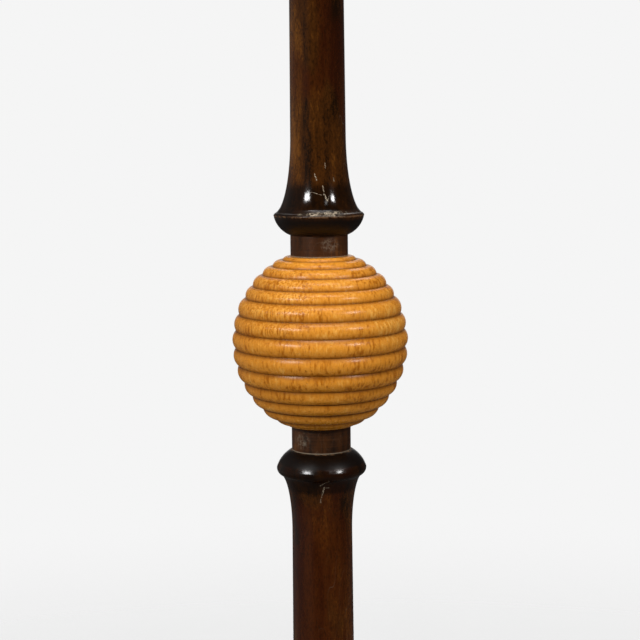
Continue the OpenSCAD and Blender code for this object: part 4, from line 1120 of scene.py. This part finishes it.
class LAMP_OT_candle_top(bpy.types.Operator):
    """Candle pan, cup, brass ring, nut and the harp's saddle"""
    bl_idname = "lamp.candle_top"
    bl_label = "Candle pan and cup"
    bl_options = {"REGISTER", "UNDO"}

    def execute(self, context):
        s = context.scene.lamp_sizes
        low, high, rim = foot_of("candle_pan"), top_of("candle_pan"), radius_of("candle_pan")
        tall, neck, edge = high - low, s.top_neck + 0.0005, 0.005
        rim_foot, rim_z = rim - bulge(edge, 106), tall - edge
        outline = (arc((neck, 0), (neck + 0.006, 0.004), 60, 8)
                   + arc((neck + 0.005, 0.005), (rim - 0.003, rim_z), -38, 18)
                   + arc((rim_foot, rim_z), (rim_foot, tall), 106, 12)
                   + arc((rim - 0.005, tall), (rim - 0.012, foot_of("candle_cup") - low), 40, 8))
        fit(model("wood_pan", turn(bored(outline, 0.0095), low)), "column",
            dark_wood("pan_polish", 4.4, GRAIN_ACROSS), "dark_wood", "candle_pan")

        low, tall, bead = foot_of("candle_cup"), top_of("candle_cup") - foot_of("candle_cup"), 0.023
        waist, waist_z, lip, lip_z = bead * 0.66, tall * 0.36, bead - 0.001, tall - 0.004
        outline = (arc((bead, 0), (bead, 0.005), 100, 10)
                   + arc((bead - 0.003, 0.006), (waist, waist_z), -70, 12)
                   + arc((waist, waist_z), (lip, lip_z), 62, 14)[1:]
                   + arc((lip, lip_z), (lip, tall), 110, 10)[1:])
        fit(model("wood_cup", turn(bored(outline), low)), "column",
            dark_wood("cup_polish", 5.5), "dark_wood", "candle_cup")

        low, high = foot_of("check_ring"), top_of("check_ring")
        loop = bored(arc((0.018, 0), (0.018, high - low), 100, 10))
        brass("brass_ring", turn(loop, low, ease=0.0002), "column", "check_ring")

        low, high = foot_of("top_nut"), top_of("top_nut")
        tall, corner, face, chamfer, bore = high - low, 0.0099, 0.0081, 0.0008, 0.0051
        loop = [(face, 0), (corner, chamfer), (corner, tall - chamfer), (face, tall),
                (bore, tall), (bore, 0)]
        nut = model("brass_nut", turn(loop, low, steps=48, ease=0))
        six = bmesh.new()
        bmesh.ops.create_cone(six, cap_ends=True, segments=6, radius1=0.0098, radius2=0.0098,
                              depth=tall * 2)
        carve(nut, place(six, z=low + tall / 2), "INTERSECT")
        fit(nut, "column", stock("aged_brass"), "brass", "top_nut")

        low, high = BOX["harp_saddle"]
        peg, thick = high.x - (high.y - low.y) / 2, 0.0016
        plate = bmesh.new()
        bmesh.ops.create_circle(plate, cap_ends=True, segments=40, radius=high.y)
        for vert in plate.verts:
            vert.co.x += math.copysign(peg, vert.co.x)
        grown = bmesh.ops.extrude_face_region(plate, geom=plate.faces[:])["geom"]
        bmesh.ops.translate(plate, verts=[v for v in grown if isinstance(v, bmesh.types.BMVert)],
                            vec=(0, 0, thick))
        bmesh.ops.recalc_face_normals(plate, faces=plate.faces)
        rim = [e for e in plate.edges if len(e.link_faces) == 2 and e.calc_face_angle(0) > 1.0]
        bmesh.ops.bevel(plate, geom=rim, offset=0.0003, offset_type="OFFSET", affect="EDGES",
                        segments=2, profile=0.5, material=-1)
        saddle = model("brass_saddle", place(plate, z=low.z))
        carve(saddle, place(rod(s.tube_bore, -0.01, 0.01, 40), z=low.z))
        fit(saddle, "column", stock("aged_brass"), "brass", "harp_saddle")

        root = low.z + thick - 0.0001
        tall, fillet, tip = high.z - root, 0.0028, s.wire - 0.0006
        outline = [(0, 0), (fillet, 0), (fillet, 0.0005), (s.wire, 0.0012),
                   (s.wire, tall - 0.0006), (tip, tall), (0, tall)]
        pegs = [place(turn(outline, closed=False, steps=24, ease=0.0001), x, 0, root)
                for x in (-peg, peg)]
        brass("saddle_pegs", join(*pegs), "column")
        return {"FINISHED"}


class LAMP_OT_fittings(bpy.types.Operator):
    """Finishes for the parts inside: tube, nuts, weight, lead and terminals"""
    bl_idname = "lamp.fittings"
    bl_label = "Inner fittings"
    bl_options = {"REGISTER", "UNDO"}

    def execute(self, context):
        for finish, nodes in (
            ("plated_steel", ("lamp_tube", "bottom_nut", "bottom_washer", "weight_screws",
                              "cap_set_screw")),
            ("cast_iron", ("base_weight",)),
            ("pressed_board", ("underside_cover",)),
            ("cream_plastic", ("connector_block",)),
            ("lead_sleeve", ("inner_lead",)),
            ("insulating_card", ("socket_liner",)),
            ("dark_bakelite", ("socket_core", "bulb_contact")),
            ("aged_brass", ("connector_screws", "terminal_screws", "screw_shell",
                            "centre_contact")),
        ):
            dress(stock(finish), *nodes)
        return {"FINISHED"}


class LAMP_OT_socket(bpy.types.Operator):
    """Brass socket and its ridged switch key"""
    bl_idname = "lamp.socket"
    bl_label = "Socket and key"
    bl_options = {"REGISTER", "UNDO"}

    def execute(self, context):
        low, rim = foot_of("socket_cap"), radius_of("socket_cap")
        inner, groove, tube, neck = rim - 0.0008, rim - 0.0003, 0.0051, 0.0080
        collar, shoulder, brim = 0.0090, 0.0180, 0.0260
        loop = ([(neck, 0), (0.0088, 0.0070)] + arc((0.0098, collar), (rim, shoulder), 48, 12)
                + [(rim, 0.0215), (groove, 0.0219), (groove, 0.0249), (rim, 0.0253), (rim, brim),
                   (inner, brim), (inner, shoulder)]
                + arc((neck, collar), (inner - 0.001, shoulder), 48, 12)[::-1]
                + [(tube, collar), (tube, 0)])
        brass("brass_cap", turn(loop, low, steps=128, ease=0.0002), "column", "socket_cap")

        wide, tall = radius_of("socket_liner") + 0.0008, top_of("socket_shell") - low
        inner, start, teeth = wide - 0.0007, 0.0200, 128
        loop = ([(wide, z) for z in (start, 0.0272, 0.0310, 0.0340)]
                + arc((wide, 0.0350), (wide, 0.0370), 150, 10) + [(wide, tall - 0.003)]
                + arc((wide, tall - 0.002), (wide, tall), 150, 10)
                + [(inner, tall), (inner, start)])
        shell = turn(loop, low, steps=teeth, ease=0.00012)
        mill(shell, teeth, wide - 0.0002, low + 0.0270, low + 0.0312, 0.00018)
        shell = model("brass_shell", shell)
        key_z = middle_of("switch_key")
        carve(shell, place(rod(0.0031, 0.006, 0.025), z=key_z, turn_by=RIGHT_ANGLE))
        fit(shell, "column", stock("aged_brass"), "brass", "socket_shell")

        near, far = BOX["switch_key"][1].y, BOX["switch_key"][0].y
        stem_r, collar, paddle, thick = 0.0024, 0.0036, 0.008, 0.0016
        long = near - far - 0.004
        outline = [(0, 0), (stem_r, 0), (stem_r, long - 0.0075), (collar, long - 0.0070),
                   (collar, long - 0.0042), (0.0028, long - 0.0034), (stem_r, long), (0, long)]
        stem = turn(outline, closed=False, steps=32, ease=0.0002)
        place(stem, 0, near, key_z, RIGHT_ANGLE)
        dish, side = 0.0058, [(0.0058, thick * 0.7), (0.0064, thick), (0.0072, thick),
                              (paddle, thick * 0.5)]
        outline = ([(0, -thick * 0.7)] + [(r, -z) for r, z in side] + side[::-1]
                   + [(0, thick * 0.7)])
        grip = turn(outline, closed=False, steps=56, ease=0.0002)
        place(grip, 0, far + paddle, key_z, RIGHT_ANGLE, "Y")
        parts = [stem, grip]
        for y in (-0.0036, -0.0018, 0.0, 0.0018, 0.0036):
            reach = math.sqrt(dish ** 2 - y ** 2) - 0.0004
            for x in (-thick * 0.66, thick * 0.66):
                rib = Wire(0.00055, (x, far + paddle + y, key_z - reach), (0, 0, 1), 12)
                parts.append(rib.run(2 * reach).done())
        fit(model("ridged_key", join(*parts)), "switch", stock("dark_bakelite"), "insulation",
            "switch_key")
        return {"FINISHED"}


class LAMP_OT_bulb(bpy.types.Operator):
    """Frosted bulb with a rolled thread on its cap"""
    bl_idname = "lamp.bulb"
    bl_label = "Bulb"
    bl_options = {"REGISTER", "UNDO"}

    def execute(self, context):
        pitch = context.scene.lamp_sizes.cap_pitch
        low, high, wide = foot_of("bulb_cap"), top_of("bulb_cap"), radius_of("bulb_cap")
        tall, deep, rows, foot = high - low, 0.0009, 96, 0.0012
        levels = [foot + (tall - foot) * i / rows for i in range(rows + 1)]
        outline = [(0, 0), (wide - 0.004, 0)] + [(wide - deep, z) for z in levels] + [(0, tall)]
        cap = turn(outline, low, closed=False, steps=72, ease=0)

        def rise(distance):
            """0 below 0 and 1 over 2 mm."""
            return min(1, max(0, distance / 0.002))

        for vert in cap.verts:
            out, z = math.hypot(vert.co.x, vert.co.y), vert.co.z - low
            if out < wide - deep - 1e-5 or not 0.0011 < z:
                continue
            fade = rise(z - 0.0015) * rise(tall - 0.006 - z)
            wave = 0.5 + 0.5 * math.cos(math.tau * z / pitch - math.atan2(vert.co.y, vert.co.x))
            flat = rise(z - tall + 0.006)
            vert.co.xy *= 1 + deep * (fade * wave + flat * 0.75) / out
        fit(model("threaded_cap", cap, 60), "bulb", stock("bulb_cap_metal"), "steel", "bulb_cap")

        low, high, wide = foot_of("bulb_glass"), top_of("bulb_glass"), radius_of("bulb_glass")
        tall, neck, neck_z = high - low, radius_of("bulb_cap") - 0.0005, 0.006
        middle, join_a = tall - wide, math.radians(35)
        meet = (wide * math.cos(join_a), middle - wide * math.sin(join_a))
        lean = math.degrees(math.atan((meet[0] - neck) / (meet[1] - neck_z)))
        turns = [join_a * (i / 32 - 1) + math.pi / 2 * i / 32 for i in range(1, 33)]
        outline = ([(0, 0), (neck, 0)] + arc((neck, neck_z), meet, -2 * lean, 16)
                   + [(wide * math.cos(a), middle + wide * math.sin(a)) for a in turns])
        outline[-1] = (0, tall)
        glass = turn(outline, low, closed=False, steps=96, ease=0.0003)
        fit(model("frosted_bulb", glass), "bulb", stock("frosted_glass"), "bulb_glass",
            "bulb_glass")
        return {"FINISHED"}


class LAMP_OT_harp(bpy.types.Operator):
    """Harp of bent brass wire, with its stud and the sleeves that lock it"""
    bl_idname = "lamp.harp"
    bl_label = "Harp and sleeves"
    bl_options = {"REGISTER", "UNDO"}

    def execute(self, context):
        wire = context.scene.lamp_sizes.wire
        low, high = BOX["harp"]
        peg, side, leg = middle_of("sleeve_right", "x"), high.x - wire, 0.026
        hub_top = high.z - 0.014
        arc_z = hub_top - 0.0025 - side
        foot_bend, side_bend, lean = 0.014, 0.026, math.radians(45)
        bends = foot_bend + side_bend
        shift = side - peg - bends * (1 - math.cos(lean))
        slant = shift / math.sin(lean)
        straight = arc_z - low.z - leg - bends * math.sin(lean) - slant * math.cos(lean)
        left, right = (0, -1, 0), (0, 1, 0)
        bow = Wire(wire, (-peg, 0, low.z), (0, 0, 1)).run(leg)
        bow.bend(foot_bend, 45, left).run(slant).bend(side_bend, 45, right, 10).run(straight)
        bow.bend(side, 180, right, 48).run(straight)
        bow.bend(side_bend, 45, right, 10).run(slant).bend(foot_bend, 45, left).run(leg)
        flange, stud = 0.0080, 0.0031
        threads = [(stud - 0.00035 * (i % 2), 0.0052 + 0.00045 * i) for i in range(29)]
        boss = turn([(0, 0)] + arc((0.0056, 0), (flange, 0.0018), 60, 6) + [(flange, 0.0032)]
                    + arc((flange, 0.0034), (0.0062, 0.0050), 60, 6) + [(0.0040, 0.0050)]
                    + threads + [(0.0022, 0.019), (0, 0.019)],
                    hub_top - 0.005, closed=False, steps=48, ease=0.00012)
        brass("brass_harp", join(bow.done(), boss), "harp", "harp", sharp=60)

        for node in ("sleeve_left", "sleeve_right"):
            low, high = BOX[node]
            tall, wide, bore = high.z - low.z, (high.x - low.x) / 2, wire + 0.0001
            bead, barrel = wide - 0.0003, wide - 0.0005
            loop = ([(bore, 0)] + arc((bead, 0), (bead, 0.0022), 90, 8)
                    + [(barrel, 0.0026), (barrel, tall - 0.0026)]
                    + arc((bead, tall - 0.0022), (bead, tall), 90, 8) + [(bore, tall)])
            sleeve = turn(loop, 0, steps=32, ease=0.00015)
            brass("brass_" + node, place(sleeve, middle_of(node, "x"), 0, low.z), node, node)
        return {"FINISHED"}


class LAMP_OT_shade(bpy.types.Operator):
    """Linen shade on its liner, with bindings, a back seam and the wire frame"""
    bl_idname = "lamp.shade"
    bl_label = "Shade"
    bl_options = {"REGISTER", "UNDO"}

    def execute(self, context):
        s = context.scene.lamp_sizes
        low, high = foot_of("shade_shell"), top_of("shade_shell")
        tall, wide, narrow = high - low, radius_of("shade_shell"), 0.128
        slope = (wide - narrow) / tall
        lean = math.sqrt(1 + slope ** 2)

        def wall(inset, z):
            """A point that far in from the face of the shade, at a height."""
            return (wide - slope * z - inset * lean, z)

        def shell(near, far, start, end):
            """A layer of the shade between two insets and two heights."""
            rows = round((end - start) / 0.012)
            zs = [start + (end - start) * i / rows for i in range(rows + 1)]
            loop = [wall(near, z) for z in zs] + [wall(far, z) for z in reversed(zs)]
            return turn(loop, low, steps=192, ease=0)

        proud, cloth, short = 0.0005, 0.0005, 0.0008
        linen = shell(proud, proud + cloth, short, tall - short)
        self.map_flat(linen, low, wide, slope)
        cover = fit(model("linen_cover", linen, 60), "shade", woven("linen_weave", s.thread),
                    "shade_linen", "shade_shell")
        lining = shell(proud + cloth, s.shade_wall, short, tall - short)
        fit(model("shade_lining", lining, 60), "shade", stock("shade_liner"), "shade_linen")

        for name, start, end, flip in (
            ("bottom", 0.0, s.trim, 1), ("top", tall, tall - s.trim, -1),
        ):
            steps = [start + (end - start) * t for t in (0.10, 0.2, 0.5, 0.8, 0.95, 1.0)]
            outer = [wall(0, z) for z in steps[:-1]] + [wall(proud * 0.6, end), wall(proud, end)]
            inner = [wall(s.shade_wall + 0.0004, z) for z in steps[:4]]
            rolled = arc(inner[0], outer[0], 150 * flip, 8)
            loop = list(reversed(inner)) + rolled[1:-1] + outer + [wall(s.shade_wall, end)]
            loop = loop if flip > 0 else list(reversed(loop))
            binding = turn(loop, low, steps=192, ease=0)
            self.map_flat(binding, low, wide, slope)
            fit(model(name + "_binding", binding, 60), "shade",
                              woven(name + "_binding_weave", s.thread * 0.8), "shade_linen")

        seam = bmesh.new()
        seam.verts.layers.float.new("edge")
        outline = [wall(0.0001, s.trim * 0.5 + (tall - s.trim) * i / 20) for i in range(21)]
        outline += [wall(proud + 0.0001, z) for r, z in reversed(outline)]
        verts = [seam.verts.new((r, 0, low + z)) for r, z in outline]
        edges = [seam.edges.new(pair) for pair in zip(verts, verts[1:] + verts[:1])]
        bmesh.ops.edgeloop_fill(seam, edges=edges)
        sweep = 0.011 / wide
        bmesh.ops.spin(seam, geom=seam.faces[:] + seam.edges[:] + seam.verts[:], cent=(0, 0, 0),
                       axis=(0, 0, 1), dvec=(0, 0, 0), angle=sweep, steps=4, use_merge=False)
        place(seam, turn_by=RIGHT_ANGLE - sweep / 2, axis="Z")
        bmesh.ops.recalc_face_normals(seam, faces=seam.faces)
        self.map_flat(seam, low, wide, slope)
        fit(model("back_seam", seam, 30), "shade", woven("seam_weave", s.thread),
                          "shade_linen")

        far, near = wide * lean / slope, (wide - slope * tall) * lean / slope
        half_turn = math.pi * slope / lean
        flat = (2 * far * math.sin(half_turn), far - near * math.cos(half_turn))

        ring_r, origin = 0.0014, (0, 0, 0)
        for node, name in (
            ("shade_spider", "brass_spider"), ("shade_bottom_ring", "brass_bottom_ring"),
        ):
            hub_z, out, z = foot_of(node), radius_of(node) - ring_r, top_of(node) - ring_r
            ring = bmesh.new()
            bmesh.ops.create_circle(ring, segments=16, radius=ring_r)
            place(ring, out, 0, z, RIGHT_ANGLE)
            bmesh.ops.spin(ring, geom=ring.verts[:] + ring.edges[:], cent=origin, axis=(0, 0, 1),
                           dvec=origin, angle=math.tau, steps=144, use_merge=True)
            bmesh.ops.recalc_face_normals(ring, faces=ring.faces)
            parts = [ring]
            if node == "shade_spider":
                hole, hub, thick = 0.0032, 0.014, 0.0018
                loop = [(hole, 0), (hub, 0), (hub, thick), (hole, thick)]
                parts.append(turn(loop, hub_z, steps=64, ease=0.0003))
                for degrees in (30, 150, 270):
                    a = math.radians(degrees)
                    way = Vector((math.cos(a), math.sin(a), 0))
                    start = way * 0.011 + Vector((0, 0, hub_z + thick / 2))
                    parts.append(strut(0.0013, start, way * out + Vector((0, 0, z))))
            brass(name, join(*parts), "shade", node)
        return {"FINISHED"}

    def map_flat(self, bm, low, wide, slope):
        """Lays the cone flat on a map in metres, with the seam at the back."""
        flat = bm.loops.layers.uv.new("flat")
        lean = math.sqrt(1 + slope ** 2)
        for face in bm.faces:
            middle = face.calc_center_median()
            facing = math.atan2(middle.x, -middle.y)
            for loop in face.loops:
                co = loop.vert.co
                a = math.atan2(co.x, -co.y)
                if a - facing > math.pi:
                    a -= math.tau
                if facing - a > math.pi:
                    a += math.tau
                far = (wide / slope - (co.z - low)) * lean
                loop[flat].uv = (far * math.sin(a * slope / lean), far * math.cos(a * slope / lean))


class LAMP_OT_finial(bpy.types.Operator):
    """Turned brass finial with a milled foot"""
    bl_idname = "lamp.finial"
    bl_label = "Finial"
    bl_options = {"REGISTER", "UNDO"}

    def execute(self, context):
        low, tall, foot = foot_of("finial"), top_of("finial") - foot_of("finial"), 0.008
        neck, waist, tip, tip_z = foot - 0.001, tall * 0.38, 0.002, tall - 0.004
        hole, hole_l, teeth = 0.0032, 0.0127, 96
        outline = ([(0, hole_l), (hole, hole_l), (hole, 0)] + arc((foot, 0), (foot, 0.003), 120, 8)
                   + arc((neck, 0.003), (neck, waist), -80, 14)
                   + arc((neck, waist), (tip, tip_z), 150, 20)[1:]
                   + arc((tip, tip_z), (0.0002, tall), 100, 8)[1:] + [(0, tall)])
        knob = turn(outline, low, closed=False, steps=teeth, ease=0.0002)
        mill(knob, teeth, foot - 0.0002, -1, low + 0.0032, 0.00035)
        brass("brass_finial", knob, "finial", "finial")
        return {"FINISHED"}


class LAMP_PT_builder(bpy.types.Panel):
    """Lists the lamp's pieces, sizes and colours"""
    bl_idname = "LAMP_PT_builder"
    bl_label = "Candlestick Floor Lamp"
    bl_space_type = "VIEW_3D"
    bl_region_type = "UI"
    bl_category = "Lamp"

    def draw(self, context):
        for operator in OPERATORS:
            self.layout.operator(operator.bl_idname)
        for group in (getattr(context.scene, name) for name in GROUPS):
            box = self.layout.box()
            for name in group.__annotations__:
                box.prop(group, name)


GROUPS = {"lamp_sizes": LampSizes, "lamp_colours": LampColours, "lamp_studio": StudioSetup}
OPERATORS = (
    LAMP_OT_studio, LAMP_OT_foot, LAMP_OT_underside, LAMP_OT_shafts, LAMP_OT_necks, LAMP_OT_ball,
    LAMP_OT_candle_top, LAMP_OT_fittings, LAMP_OT_socket, LAMP_OT_bulb, LAMP_OT_harp, LAMP_OT_shade,
    LAMP_OT_finial)


def register():
    for group in (*GROUPS.values(), *OPERATORS, LAMP_PT_builder):
        bpy.utils.register_class(group)
    for name, group in GROUPS.items():
        setattr(bpy.types.Scene, name, bpy.props.PointerProperty(type=group))


def unregister():
    for name in GROUPS:
        delattr(bpy.types.Scene, name)
    for group in reversed((*GROUPS.values(), *OPERATORS, LAMP_PT_builder)):
        bpy.utils.unregister_class(group)


def main():
    register()
    for operator in OPERATORS:
        group, name = operator.bl_idname.split(".")
        getattr(getattr(bpy.ops, group), name)()


if __name__ == "__main__":
    main()
